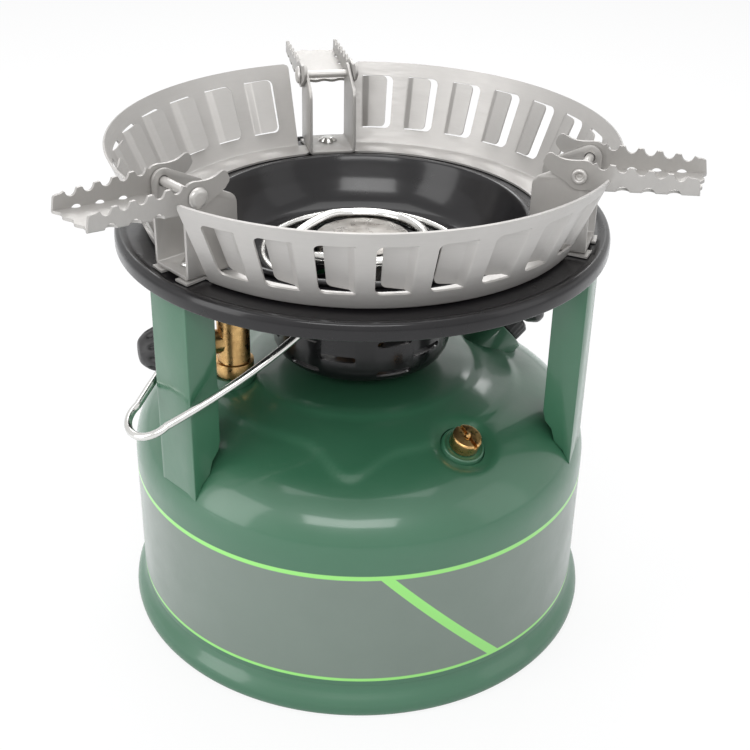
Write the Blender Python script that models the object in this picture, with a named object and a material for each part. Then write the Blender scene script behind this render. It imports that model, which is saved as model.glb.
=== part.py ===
# Petrol camping stove: a pressurised tank on which three legs carry a tray, a burner bowl and a windscreen
# Lengths are in metres and angles in degrees, with +Z up, and the tank's underside centre is the origin

import math

import bmesh
import bpy
from mathutils import Matrix, Vector

# Clearances that every piece shares
GAP = 0.0003
OVERRUN = 0.002
MERGE_DISTANCE = 0.000001

# Round steps of turned pieces
LARGE_STEPS = 40
MEDIUM_STEPS = 30
SMALL_STEPS = 20
TINY_STEPS = 12

# The three stations carry a leg, a bracket and a pot support each
FIRST_STATION_ANGLE = -138.4
STATION_STEP_ANGLE = 120.0
STATION_NAMES = ("left", "right", "back")

# Tank shell
TANK_LEG_MARGIN = 0.0020
TANK_WALL = 0.0012
TANK_WALL_TOP = 0.0620
DOME_RISE = 0.0345
DOME_POWER = 2.3
DOME_POINTS = 6
SEAT_MARGIN = 0.0085
SEAT_STEP_WIDTH = 0.0030
SEAT_RAISE = 0.0015

# Tank base, reckoned from the tank's wall
BASE_PLATE = 0.0012
BASE_RING_REACH = 0.0035
BASE_RING_WIDTH = 0.0051
BASE_GROOVE_WIDTH = 0.0054
BASE_GROOVE_DEPTH = 0.0036
BASE_RING_HEIGHT = 0.0036
BASE_RING_ROUND = 0.0012
BASE_WAIST_INSET = 0.0006
BASE_WAIST_HEIGHT = 0.0110

# Tray, reckoned from the bowl's neck and the brackets
TRAY_SHEET = 0.0012
TRAY_BRACKET_MARGIN = 0.0019
TRAY_BEAD_RUN = 0.0024
TRAY_BEAD_HEIGHT = 0.0011
TRAY_RIM_RUN = 0.0018
TRAY_RIM_DEPTH = 0.0048

# Burner bowl, reckoned from the flame ring
BOWL_LIP_WIDTH = 0.0023
BOWL_LIP_HEIGHT = 0.0015
BOWL_SHEET = 0.0011
BOWL_DEPTH = 0.0170
BOWL_FLOOR_MARGIN = 0.0112
BOWL_SIDE_LEAN = 0.0090
BOWL_HOLE_RADIUS = 0.0310
BOWL_NECK_CLEARANCE = 0.0005

# Burner cup that hangs under the bowl, clear of the tank's seat
CUP_HOLE_OVERLAP = 0.0010
CUP_SHEET = 0.0010
CUP_FLANGE_WIDTH = 0.0040
CUP_HEIGHT = 0.0317
CUP_SEAT_CLEARANCE = 0.00544
CUP_CORNER = 0.0065
CUP_FLOOR_INSET = 0.0045
CUP_SLOT_HEIGHT = 0.0024
CUP_SLOT_ANGLE = 24.0
CUP_SLOTS_PER_ROW = 6
CUP_SLOT_FIRST_ANGLE = -68.5
CUP_SLOT_ROWS = 3
CUP_SLOT_TOP_DROP = 0.0163
CUP_SLOT_PITCH = 0.0057
CUP_SLOT_SHIFT_ANGLE = 24.0

# Burner
FLAME_RING_MARGIN = 0.0038
FLAME_RING_WIDTH = 0.0030
FLAME_RING_HEIGHT = 0.0045
FLAME_RING_SHEET = 0.0010
BELL_TUBE_RADIUS = 0.0075
BELL_SHEET = 0.0012
BELL_RIM_RADIUS = 0.0162
BELL_TUBE_LENGTH = 0.0145
BELL_FLARE_HEIGHT = 0.0150
BELL_AIR_HOLE_RADIUS = 0.0024
BELL_AIR_HOLES = 4
SPREADER_OVERHANG = 0.0003
SPREADER_SHEET = 0.0012
SPREADER_GAP = 0.0022
SPREADER_TABS = 3
SPREADER_TAB_WIDTH = 0.0040
JET_BLOCK_HEIGHT = 0.0100
JET_SHOULDER_HEIGHT = 0.0070
JET_BLOCK_RADIUS = 0.0085
JET_RADIUS = 0.0030
JET_HEIGHT = 0.0036
GENERATOR_TUBE_RADIUS = 0.0022
GENERATOR_LOOP_MARGIN = 0.0058
GENERATOR_LOOP_HEIGHT = 0.0081
GENERATOR_RISER_INSET = 0.0058
GENERATOR_RETURN_ANGLE = -33.0
GENERATOR_LOOP_START_ANGLE = 38.0
GENERATOR_LOOP_END_ANGLE = 292.0
GENERATOR_STEPS = 54

# Control valve on the dome
VALVE_ANGLE = -162.0
VALVE_CUP_DISTANCE = 0.0150
VALVE_BUNG_RADIUS = 0.0075
VALVE_BUNG_HEIGHT = 0.0030
VALVE_BUNG_DEPTH = 0.0042
VALVE_SHANK_RADIUS = 0.0042
VALVE_BODY_RADIUS = 0.0058
VALVE_LUG_CLEARANCE = 0.0030
VALVE_COLLAR_RADIUS = 0.0070
VALVE_COLLAR_HEIGHT = 0.0050
VALVE_ARM_HEIGHT = 0.0125
VALVE_ARM_RADIUS = 0.0043
VALVE_ARM_LENGTH = 0.0022
VALVE_OUTLET_HEIGHT = 0.0210
VALVE_OUTLET_RADIUS = 0.0035
VALVE_OUTLET_LENGTH = 0.0078
SPINDLE_RADIUS = 0.0020
SPINDLE_DEPTH = 0.0060
NUT_RADIUS = 0.0052
NUT_LENGTH = 0.0045
KNOB_RADIUS = 0.0100
KNOB_LENGTH = 0.0165
KNOB_NOSE_RADIUS = 0.0042
KNOB_BORE_DEPTH = 0.0090
KNOB_FLUTES = 10
KNOB_FLUTE_DEPTH = 0.0009
KNOB_STANDOFF = 0.0042
PICKUP_RADIUS = 0.0018
PICKUP_FLOOR_CLEARANCE = 0.0030

# Pump
PUMP_ANGLE = 26.0
PUMP_WALL_DISTANCE = 0.0282
PUMP_TILT = 50.0
PUMP_BUNG_RADIUS = 0.0102
PUMP_BUNG_HEIGHT = 0.0062
PUMP_BUNG_DEPTH = 0.0095
PUMP_BARREL_RADIUS = 0.0066
PUMP_BARREL_WALL = 0.0008
PUMP_BARREL_LENGTH = 0.0660
PUMP_CAP_RADIUS = 0.0078
PUMP_CAP_HEIGHT = 0.0068
PUMP_ROD_RADIUS = 0.0019
PUMP_PISTON_HEIGHT = 0.0060
PUMP_PISTON_CLEARANCE = 0.0033
PUMP_CHECK_HEIGHT = 0.0065
PUMP_KNOB_RADIUS = 0.0092
PUMP_KNOB_HEIGHT = 0.0088
PUMP_KNOB_STANDOFF = 0.0008
PUMP_KNOB_BORE_DEPTH = 0.0050

# Filler
FILLER_ANGLE = 74.0
FILLER_WALL_DISTANCE = 0.0310
FILLER_TILT = 20.0
FILLER_NECK_RADIUS = 0.0110
FILLER_NECK_WALL = 0.0024
FILLER_NECK_HEIGHT = 0.0060
FILLER_NECK_DEPTH = 0.0070
FILLER_GASKET_HEIGHT = 0.0015
FILLER_CAP_RADIUS = 0.0138
FILLER_CAP_TOP = 0.0048
FILLER_CAP_SKIRT = 0.0040
FILLER_CAP_FLUTE_DEPTH = 0.0006

# Pressure relief valve
RELIEF_ANGLE = -54.0
RELIEF_WALL_DISTANCE = 0.0230
RELIEF_TILT = 24.0
RELIEF_BUNG_RADIUS = 0.0080
RELIEF_BUNG_HEIGHT = 0.0004
RELIEF_SEAT_DEPTH = 0.0014
RELIEF_SEAT_RADIUS = 0.0058
RELIEF_BUNG_DEPTH = 0.0050
RELIEF_HEAD_RADIUS = 0.0051
RELIEF_HEAD_HEIGHT = 0.0048
RELIEF_SHANK_RADIUS = 0.0040
RELIEF_SHANK_DEPTH = 0.0095
RELIEF_SLOT_WIDTH = 0.0013
RELIEF_SLOT_DEPTH = 0.0012
RELIEF_PIN_RADIUS = 0.0010
RELIEF_PIN_STAND = 0.0012
RELIEF_BORE_RADIUS = 0.0027
RELIEF_BORE_DEPTH = 0.0095
RELIEF_COLLAR_RADIUS = 0.0022
RELIEF_COLLAR_HEIGHT = 0.0010
RELIEF_LIP_RADIUS = 0.0012
RELIEF_LIP_HEIGHT = 0.0010
RELIEF_SPRING_WIRE_RADIUS = 0.00025
RELIEF_SPRING_RADIUS = 0.0017
RELIEF_SPRING_TURNS = 4

# Legs
LEG_TRAY_MARGIN = 0.0006
LEG_WIDTH = 0.0192
LEG_DEPTH = 0.0110
LEG_SHEET = 0.0012
LEG_TAB_LENGTH = 0.0145
LEG_TAB_RELIEF = 0.0009
LEG_CORNER = 0.0075

# Windscreen segments
SCREEN_SHEET = 0.0007
SCREEN_PIVOT_INSET = 0.0012
SCREEN_LEAN = 0.0122
SCREEN_HEIGHT = 0.0290
SCREEN_FLANGE_WIDTH = 0.0103
SCREEN_START_ANGLE = 9.0
SCREEN_END_ANGLE = 111.4
SCREEN_TAB_ANGLE = 2.7
SCREEN_TAB_REACH = 0.0067
LOUVRES = 8
LOUVRE_FIRST_ANGLE = 14.0
LOUVRE_PITCH_ANGLE = 12.4
LOUVRE_WIDTH_ANGLE = 8.2
LOUVRE_DEPTH = 0.0032
LOUVRE_FOOT = 0.0056
LOUVRE_HEAD = 0.0047
LOUVRE_BEVEL = 0.0012

# Brackets
BRACKET_BOWL_CLEARANCE = 0.0006
BRACKET_WIDTH = 0.0178
BRACKET_SHEET = 0.0012
PIVOT_REACH = 0.0151
PIVOT_RISE = 0.0281
EAR_ROUND = 0.0040
EAR_SHOULDER_DROP = 0.0031
EAR_ARC_POINTS = 7
BEND_RADIUS = 0.0009
BEND_STEPS = 2

# Pot support arms, measured from their pivot
ARM_SHEET = 0.0010
ARM_LENGTH = 0.0372
ARM_TOP = 0.0044
ARM_TIP_TOP = 0.0036
ARM_ROOT_BOTTOM = 0.0040
ARM_TIP_BOTTOM = 0.0012
ARM_NOSE_LENGTH = 0.0112
ARM_NOSE_TOP = 0.0063
ARM_NOSE_BOTTOM = 0.0030
ARM_HEEL_RADIUS = 0.0046
ARM_HEEL_START_ANGLE = 215.0
ARM_HEEL_SWEEP_ANGLE = 65.0
ARM_TEETH = 6
ARM_TOOTH_FIRST = 0.0030
ARM_TOOTH_HEIGHT = 0.0011
ARM_WEB_WAVES = 3
ARM_WEB_WAVE_DEPTH = 0.0012

# Pivot pins and rivets
PIN_RADIUS = 0.0015
PIN_HEAD_RADIUS = 0.0034
PIN_HEAD_HEIGHT = 0.0019
PIN_EYE_RADIUS = 0.0028
PIN_EYE_HEIGHT = 0.0010
PIN_EYE_BORE_RADIUS = 0.0011
PIN_EYE_BORE_DEPTH = 0.0016
RIVET_RADIUS = 0.0020
RIVET_PIVOT_DISTANCE = 0.0033
RIVET_HEAD_RADIUS = 0.0036
RIVET_HEAD_HEIGHT = 0.0016
RIVET_TAIL_RADIUS = 0.0030
RIVET_TAIL_HEIGHT = 0.0013

# Wire bail that swings round the left leg
BAIL_WIRE_RADIUS = 0.0013
BAIL_CUP_DISTANCE = 0.0060
BAIL_PIVOT_DROP = 0.0035
BAIL_HALF_WIDTH = 0.0204
BAIL_END_RADIUS = 0.0085
BAIL_LENGTH = 0.0617
BAIL_BOW_POWER = 1.72
BAIL_REST_ANGLE = 27.1
BAIL_HOOK_LENGTH = 0.0052
BAIL_HOOK_ROUND = 0.0024
BAIL_SIDE_POINTS = 9
BAIL_ARC_POINTS = 6
LUG_SHEET = 0.0010
LUG_SIDE_CLEARANCE = 0.0009
LUG_HALF_LENGTH = 0.0028
LUG_FOOT_WIDTH = 0.0055
LUG_DEPTH = 0.0031


# Angles at which an edge counts as sharp, and at which a folded sheet is rounded
SHARP_ANGLE = 35.0
FOLD_ANGLE = 30.0

# Derived radii, from the bowl's hole outwards
CUP_RADIUS = BOWL_HOLE_RADIUS + CUP_HOLE_OVERLAP
CUP_FLANGE_RADIUS = CUP_RADIUS + CUP_FLANGE_WIDTH
CUP_FLOOR_RADIUS = CUP_RADIUS - CUP_FLOOR_INSET
SEAT_RADIUS = CUP_RADIUS + SEAT_MARGIN
FLAME_RING_RADIUS = BOWL_HOLE_RADIUS + FLAME_RING_MARGIN
BOWL_FLOOR_RADIUS = FLAME_RING_RADIUS + FLAME_RING_WIDTH / 2 + BOWL_FLOOR_MARGIN
BOWL_NECK_RADIUS = BOWL_FLOOR_RADIUS + BOWL_SIDE_LEAN
BOWL_LIP_RADIUS = BOWL_NECK_RADIUS + BOWL_LIP_WIDTH
TRAY_HOLE_RADIUS = BOWL_NECK_RADIUS + BOWL_NECK_CLEARANCE
BRACKET_INNER_RADIUS = BOWL_LIP_RADIUS + BRACKET_BOWL_CLEARANCE
PIVOT_RADIUS = BRACKET_INNER_RADIUS + PIVOT_REACH
BRACKET_OUTER_RADIUS = PIVOT_RADIUS + EAR_ROUND
RIVET_PLACE_RADIUS = PIVOT_RADIUS - RIVET_PIVOT_DISTANCE
SCREEN_FOOT_RADIUS = PIVOT_RADIUS - SCREEN_PIVOT_INSET
TRAY_FLAT_RADIUS = BRACKET_OUTER_RADIUS + TRAY_BRACKET_MARGIN
TRAY_BEAD_RADIUS = TRAY_FLAT_RADIUS + TRAY_BEAD_RUN
TRAY_RIM_RADIUS = TRAY_BEAD_RADIUS + TRAY_RIM_RUN
LEG_FACE_RADIUS = TRAY_FLAT_RADIUS + LEG_TRAY_MARGIN
TANK_RADIUS = LEG_FACE_RADIUS + TANK_LEG_MARGIN
BASE_RING_RADIUS = TANK_RADIUS + BASE_RING_REACH
BASE_WAIST_RADIUS = TANK_RADIUS - BASE_WAIST_INSET
BASE_RING_INNER_RADIUS = BASE_RING_RADIUS - BASE_RING_WIDTH
BASE_GROOVE_RADIUS = BASE_RING_INNER_RADIUS - 2 * BASE_PLATE
BASE_FLAT_RADIUS = BASE_GROOVE_RADIUS - BASE_GROOVE_WIDTH - BASE_GROOVE_DEPTH
VALVE_RADIUS = CUP_RADIUS + VALVE_CUP_DISTANCE
PUMP_RADIUS = TANK_RADIUS - PUMP_WALL_DISTANCE
FILLER_RADIUS = TANK_RADIUS - FILLER_WALL_DISTANCE
RELIEF_RADIUS = TANK_RADIUS - RELIEF_WALL_DISTANCE
BAIL_PIVOT_RADIUS = CUP_FLANGE_RADIUS + BAIL_CUP_DISTANCE
SPREADER_RADIUS = BELL_RIM_RADIUS + SPREADER_OVERHANG
GENERATOR_LOOP_RADIUS = BELL_RIM_RADIUS + GENERATOR_LOOP_MARGIN
GENERATOR_RISER_RADIUS = CUP_RADIUS - GENERATOR_RISER_INSET


# Height of the dome's outer skin at a radius
def dome_height(radius):
    share = (radius / TANK_RADIUS) ** DOME_POWER
    return TANK_WALL_TOP + DOME_RISE * (1.0 - share) ** (1.0 / DOME_POWER)


# Derived heights, from the tank's seat up to the pivots
TANK_WALL_FOOT = BASE_WAIST_HEIGHT + GAP
SEAT_HEIGHT = dome_height(SEAT_RADIUS + SEAT_STEP_WIDTH) + SEAT_RAISE
CUP_UNDERSIDE = SEAT_HEIGHT + CUP_SEAT_CLEARANCE
CUP_FLOOR_TOP = CUP_UNDERSIDE + CUP_SHEET
CUP_TOP = CUP_UNDERSIDE + CUP_HEIGHT
BOWL_FLOOR_UNDERSIDE = CUP_TOP + GAP
BOWL_FLOOR_TOP = BOWL_FLOOR_UNDERSIDE + BOWL_SHEET
BOWL_LIP_SEAT = BOWL_FLOOR_TOP + BOWL_SHEET + BOWL_DEPTH - BOWL_LIP_HEIGHT
TRAY_TOP = BOWL_LIP_SEAT - GAP
TRAY_UNDERSIDE = TRAY_TOP - TRAY_SHEET
LEG_TOP = TRAY_UNDERSIDE - GAP
SCREEN_FLANGE_HEIGHT = TRAY_TOP + GAP + SCREEN_SHEET / 2
BRACKET_BASE_HEIGHT = SCREEN_FLANGE_HEIGHT + SCREEN_SHEET / 2 + GAP + BRACKET_SHEET / 2
PIVOT_HEIGHT = TRAY_TOP + PIVOT_RISE
EAR_SHOULDER_HEIGHT = PIVOT_HEIGHT - EAR_SHOULDER_DROP
BAIL_PIVOT_HEIGHT = BOWL_FLOOR_UNDERSIDE - GAP - LUG_SHEET / 2 - BAIL_PIVOT_DROP

# Derived middles and faces of sheets and bores
EAR_MIDDLE = (BRACKET_WIDTH - BRACKET_SHEET) / 2
ARM_WALL_MIDDLE = BRACKET_WIDTH / 2 + GAP + ARM_SHEET / 2
ARM_OUTER_FACE = ARM_WALL_MIDDLE + ARM_SHEET / 2
VALVE_BORE_RADIUS = SPINDLE_RADIUS + GAP


# Everything already in the scene is removed first
for old_object in list(bpy.data.objects):
    bpy.data.objects.remove(old_object, do_unlink=True)


# Materials
def make_finish(name, colour, roughness, metallic):
    finish = bpy.data.materials.new(name)
    finish.use_nodes = True
    shader = finish.node_tree.nodes["Principled BSDF"]
    shader.inputs["Base Color"].default_value = (colour[0], colour[1], colour[2], 1.0)
    shader.inputs["Roughness"].default_value = roughness
    shader.inputs["Metallic"].default_value = metallic
    finish.diffuse_color = (colour[0], colour[1], colour[2], 1.0)
    return finish


GREEN_PAINT = make_finish("green_paint", (0.018, 0.110, 0.045), 0.28, 0.0)
BLACK_ENAMEL = make_finish("black_enamel", (0.012, 0.011, 0.013), 0.18, 0.0)
SATIN_STEEL = make_finish("satin_steel", (0.55, 0.52, 0.49), 0.38, 1.0)
BRIGHT_STEEL = make_finish("bright_steel", (0.75, 0.75, 0.74), 0.14, 1.0)
BRASS = make_finish("brass", (0.62, 0.36, 0.13), 0.32, 1.0)
BLACK_PLASTIC = make_finish("black_plastic", (0.020, 0.019, 0.020), 0.45, 0.0)
RUBBER = make_finish("rubber", (0.015, 0.015, 0.015), 0.80, 0.0)
LEATHER = make_finish("leather", (0.16, 0.07, 0.03), 0.75, 0.0)


# Frames that pieces are placed in
def add_frame(name, location=(0.0, 0.0, 0.0), turn=0.0, tilt=0.0, parent=None):
    frame = bpy.data.objects.new(name, None)
    bpy.context.scene.collection.objects.link(frame)
    frame.location = location
    frame.rotation_euler = (0.0, math.radians(tilt), math.radians(turn))
    frame.parent = parent
    return frame


def link_piece(name, data, finish, parent, location):
    piece = bpy.data.objects.new(name, data)
    bpy.context.scene.collection.objects.link(piece)
    piece.parent = parent
    piece.location = location
    if finish is not None:
        data.materials.append(finish)
    return piece


def add_piece(name, shape, finish, parent=None, location=(0.0, 0.0, 0.0)):
    bmesh.ops.recalc_face_normals(shape, faces=shape.faces)
    mesh = bpy.data.meshes.new(name)
    shape.to_mesh(mesh)
    shape.free()
    mesh.shade_smooth()
    mesh.set_sharp_from_angle(angle=math.radians(SHARP_ANGLE))
    return link_piece(name, mesh, finish, parent, location)


# A turned shape spins an outline of (radius, height) points round its own Z axis
def turned_shape(outline, steps, flutes=0, flute_depth=0.0, flute_from=0.0):
    shape = bmesh.new()
    points = [shape.verts.new((radius, 0.0, height)) for radius, height in outline]
    edges = [shape.edges.new(pair) for pair in zip(points[:-1], points[1:])]
    if outline[0][0] > 0.0 or outline[-1][0] > 0.0:
        edges.append(shape.edges.new((points[-1], points[0])))
    bmesh.ops.spin(shape, geom=points + edges, cent=(0.0, 0.0, 0.0), axis=(0.0, 0.0, 1.0),
                   angle=math.tau, steps=steps, use_merge=True, use_duplicate=False)
    bmesh.ops.remove_doubles(shape, verts=shape.verts, dist=MERGE_DISTANCE)
    if flutes:
        for vert in shape.verts:
            radius = math.hypot(vert.co.x, vert.co.y)
            if radius > flute_from:
                wave = 0.5 - 0.5 * math.cos(flutes * math.atan2(vert.co.y, vert.co.x))
                share = 1.0 - wave * flute_depth / radius
                vert.co.x *= share
                vert.co.y *= share
    return shape


def add_turned(name, outline, steps, finish, parent=None, location=(0.0, 0.0, 0.0), **fluting):
    return add_piece(name, turned_shape(outline, steps, **fluting), finish, parent, location)


# A sheet piece is its middle surface, folded and then thickened
def add_sheet(name, faces, thickness, finish, parent=None, location=(0.0, 0.0, 0.0), bend=0.0):
    shape = bmesh.new()
    for corners in faces:
        shape.faces.new([shape.verts.new(corner) for corner in corners])
    bmesh.ops.remove_doubles(shape, verts=shape.verts, dist=MERGE_DISTANCE)
    piece = add_piece(name, shape, finish, parent, location)
    if bend > 0.0:
        fold = piece.modifiers.new("fold", "BEVEL")
        fold.width = bend
        fold.segments = BEND_STEPS
        fold.limit_method = "ANGLE"
        fold.angle_limit = math.radians(FOLD_ANGLE)
    wall = piece.modifiers.new("wall", "SOLIDIFY")
    wall.thickness = thickness
    wall.offset = 0.0
    wall.use_even_offset = True
    wall.use_quality_normals = True
    return piece


# A cutter is a guide that takes its shape away from a piece
def add_cutter(name, shape, parent=None, location=(0.0, 0.0, 0.0)):
    cutter = add_piece(name, shape, None, parent, location)
    cutter.hide_render = True
    cutter.display_type = "WIRE"
    return cutter


def rod_shape(radius, low, high, steps=TINY_STEPS, axis="Z"):
    shape = turned_shape([(0.0, high), (radius, high), (radius, low), (0.0, low)], steps)
    if axis == "X":
        bmesh.ops.rotate(shape, verts=shape.verts, matrix=Matrix.Rotation(math.pi / 2, 3, "Y"))
    if axis == "Y":
        bmesh.ops.rotate(shape, verts=shape.verts, matrix=Matrix.Rotation(-math.pi / 2, 3, "X"))
    return shape


def box_shape(low, high, turn=0.0, joined=None):
    shape = bmesh.new() if joined is None else joined
    size = Vector(high) - Vector(low)
    middle = (Vector(high) + Vector(low)) / 2
    place = Matrix.Rotation(math.radians(turn), 4, "Z") @ Matrix.Translation(middle)
    bmesh.ops.create_cube(shape, size=1.0, matrix=place @ Matrix.Diagonal((*size, 1.0)))
    return shape


def take_away(piece, cutter):
    cut = piece.modifiers.new("cut", "BOOLEAN")
    cut.operation = "DIFFERENCE"
    cut.object = cutter


def join_on(piece, adder):
    union = piece.modifiers.new("join", "BOOLEAN")
    union.operation = "UNION"
    union.object = adder


# A tube follows a list of points as one round wire with closed ends
def add_tube(name, points, radius, sides_level, finish, parent=None, location=(0.0, 0.0, 0.0)):
    curve = bpy.data.curves.new(name, "CURVE")
    curve.dimensions = "3D"
    curve.bevel_depth = radius
    curve.bevel_resolution = sides_level
    curve.use_fill_caps = True
    spline = curve.splines.new("POLY")
    spline.points.add(len(points) - 1)
    for spot, point in zip(spline.points, points):
        spot.co = (point[0], point[1], point[2], 1.0)
    return link_piece(name, curve, finish, parent, location)


def smooth_route(stops, count):
    ends = [2 * stops[0] - stops[1]] + stops + [2 * stops[-1] - stops[-2]]
    spans = len(stops) - 1
    route = []
    for step in range(count + 1):
        place = step * spans / count
        index = min(int(place), spans - 1)
        part = place - index
        before, start, end, after = ends[index:index + 4]
        route.append(0.5 * (2 * start + (end - before) * part
                            + (2 * before - 5 * start + 4 * end - after) * part ** 2
                            + (3 * start - before - 3 * end + after) * part ** 3))
    return route


def around(radius, angle, height):
    return Vector((radius * math.cos(math.radians(angle)), radius * math.sin(math.radians(angle)), height))


# Points of the dome and wall from the middle out, moved outwards by the extra
def dome_outline(wall, extra):
    rim = SEAT_RADIUS + SEAT_STEP_WIDTH - wall / 2
    flattest = math.acos((rim / (TANK_RADIUS - wall)) ** (DOME_POWER / 2))
    outline = [(0.0, SEAT_HEIGHT - wall + extra), (SEAT_RADIUS - wall / 2, SEAT_HEIGHT - wall + extra)]
    for step in range(DOME_POINTS + 1):
        angle = flattest * (1.0 - step / DOME_POINTS)
        radius = (TANK_RADIUS - wall) * math.cos(angle) ** (2 / DOME_POWER)
        rise = (DOME_RISE - wall) * math.sin(angle) ** (2 / DOME_POWER)
        outline.append((radius + extra, TANK_WALL_TOP + rise + extra))
    outline.append((TANK_RADIUS - wall + extra, TANK_WALL_FOOT))
    return outline


# Tank shell and base
tank_shell = add_turned("tank_shell", dome_outline(0.0, 0.0) + dome_outline(TANK_WALL, 0.0)[::-1],
                        LARGE_STEPS, GREEN_PAINT)

waist_inner = BASE_WAIST_RADIUS - BASE_PLATE
base_outline = [
    (0.0, 0.0),
    (BASE_FLAT_RADIUS, 0.0),
    (BASE_FLAT_RADIUS + BASE_GROOVE_DEPTH, BASE_GROOVE_DEPTH),
    (BASE_GROOVE_RADIUS, BASE_GROOVE_DEPTH),
    (BASE_RING_INNER_RADIUS, 0.0),
    (BASE_RING_RADIUS - BASE_RING_ROUND, 0.0),
    (BASE_RING_RADIUS, BASE_RING_ROUND),
    (BASE_RING_RADIUS, BASE_RING_HEIGHT),
    (BASE_RING_RADIUS - BASE_RING_ROUND, BASE_RING_HEIGHT + 2 * BASE_RING_ROUND),
    (BASE_WAIST_RADIUS + BASE_RING_ROUND, BASE_WAIST_HEIGHT - 2 * BASE_RING_ROUND),
    (BASE_WAIST_RADIUS, BASE_WAIST_HEIGHT),
    (waist_inner, BASE_WAIST_HEIGHT),
    (waist_inner, BASE_GROOVE_DEPTH + BASE_PLATE),
    (BASE_FLAT_RADIUS + BASE_GROOVE_DEPTH - BASE_PLATE / 2, BASE_GROOVE_DEPTH + BASE_PLATE),
    (BASE_FLAT_RADIUS - BASE_PLATE / 2, BASE_PLATE),
    (0.0, BASE_PLATE),
]
add_turned("tank_base", base_outline, LARGE_STEPS, GREEN_PAINT)

# Tray with its rolled rim
bead_top = TRAY_TOP + TRAY_BEAD_HEIGHT
rim_foot = TRAY_TOP - TRAY_RIM_DEPTH
tray_outline = [
    (TRAY_HOLE_RADIUS, TRAY_TOP),
    (TRAY_FLAT_RADIUS, TRAY_TOP),
    ((TRAY_FLAT_RADIUS + TRAY_BEAD_RADIUS) / 2, TRAY_TOP + 0.6 * TRAY_BEAD_HEIGHT),
    (TRAY_BEAD_RADIUS, bead_top),
    (TRAY_BEAD_RADIUS + TRAY_SHEET, TRAY_TOP + 0.5 * TRAY_BEAD_HEIGHT),
    (TRAY_RIM_RADIUS, TRAY_TOP - TRAY_SHEET),
    (TRAY_RIM_RADIUS, rim_foot),
    (TRAY_RIM_RADIUS - TRAY_SHEET, rim_foot),
    (TRAY_RIM_RADIUS - TRAY_SHEET, TRAY_TOP - 1.4 * TRAY_SHEET),
    (TRAY_BEAD_RADIUS, TRAY_TOP - 0.5 * TRAY_SHEET),
    (TRAY_FLAT_RADIUS, TRAY_UNDERSIDE),
    (TRAY_HOLE_RADIUS, TRAY_UNDERSIDE),
]
tray = add_turned("tray", tray_outline, LARGE_STEPS, BLACK_ENAMEL)

# Burner bowl, whose lip rests on the tray
lip_top = BOWL_LIP_SEAT + BOWL_LIP_HEIGHT
side_height_shares = (0.12, 0.42, 0.78, 0.97)
side_radius_shares = (0.06, 0.26, 0.66, 0.95)
bowl_inside = []
bowl_outside = []
for down, inward in zip(side_height_shares, side_radius_shares):
    outer_radius = BOWL_NECK_RADIUS - inward * (BOWL_NECK_RADIUS - BOWL_FLOOR_RADIUS)
    outer_height = BOWL_LIP_SEAT - down * (BOWL_LIP_SEAT - BOWL_FLOOR_UNDERSIDE)
    bowl_outside.append((outer_radius, outer_height))
    bowl_inside.append((outer_radius - BOWL_SHEET * (1.0 - 0.5 * inward), outer_height + BOWL_SHEET * inward))
bowl_outline = [
    (BOWL_LIP_RADIUS, BOWL_LIP_SEAT),
    (BOWL_LIP_RADIUS, BOWL_LIP_SEAT + 0.5 * BOWL_LIP_HEIGHT),
    (BOWL_LIP_RADIUS - 0.6 * BOWL_SHEET, lip_top),
    (BOWL_NECK_RADIUS, lip_top),
    *bowl_inside,
    (BOWL_HOLE_RADIUS, BOWL_FLOOR_TOP),
    (BOWL_HOLE_RADIUS, BOWL_FLOOR_UNDERSIDE),
    (BOWL_FLOOR_RADIUS, BOWL_FLOOR_UNDERSIDE),
    *bowl_outside[::-1],
    (BOWL_NECK_RADIUS, BOWL_LIP_SEAT),
]
add_turned("burner_bowl", bowl_outline, LARGE_STEPS, BLACK_ENAMEL)

# Slotted burner cup under the bowl
cup_inner = CUP_RADIUS - CUP_SHEET
cup_outline = [
    (CUP_FLANGE_RADIUS, CUP_TOP),
    (CUP_FLANGE_RADIUS, CUP_TOP - CUP_SHEET),
    (CUP_RADIUS, CUP_TOP - CUP_SHEET),
    (CUP_RADIUS, CUP_UNDERSIDE + CUP_CORNER),
    ((CUP_RADIUS + CUP_FLOOR_RADIUS) / 2 + CUP_SHEET, CUP_UNDERSIDE + 0.3 * CUP_CORNER),
    (CUP_FLOOR_RADIUS, CUP_UNDERSIDE),
    (0.0, CUP_UNDERSIDE),
]
cup_lining = [
    (0.0, CUP_FLOOR_TOP),
    (CUP_FLOOR_RADIUS - 0.4 * CUP_SHEET, CUP_FLOOR_TOP),
    ((CUP_RADIUS + CUP_FLOOR_RADIUS) / 2 + 0.1 * CUP_SHEET, CUP_UNDERSIDE + 0.3 * CUP_CORNER + 0.7 * CUP_SHEET),
    (cup_inner, CUP_UNDERSIDE + CUP_CORNER),
    (cup_inner, CUP_TOP),
]
burner_cup = add_turned("burner_cup", cup_lining + cup_outline, MEDIUM_STEPS, BLACK_ENAMEL)
slot_shape = bmesh.new()
slot_half_width = CUP_RADIUS * math.sin(math.radians(CUP_SLOT_ANGLE / 2))
slot_step = math.degrees(math.tau) / CUP_SLOTS_PER_ROW
for row in range(CUP_SLOT_ROWS):
    slot_middle = CUP_TOP - CUP_SLOT_TOP_DROP - row * CUP_SLOT_PITCH
    row_shift = CUP_SLOT_SHIFT_ANGLE * (row % 2)
    for slot in range(CUP_SLOTS_PER_ROW):
        turn = CUP_SLOT_FIRST_ANGLE + row_shift + slot * slot_step
        box_shape((CUP_FLOOR_RADIUS - OVERRUN, -slot_half_width, slot_middle - CUP_SLOT_HEIGHT / 2),
                  (CUP_RADIUS + OVERRUN, slot_half_width, slot_middle + CUP_SLOT_HEIGHT / 2), turn, slot_shape)
take_away(burner_cup, add_cutter("cup_slot_cutter", slot_shape))

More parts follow.
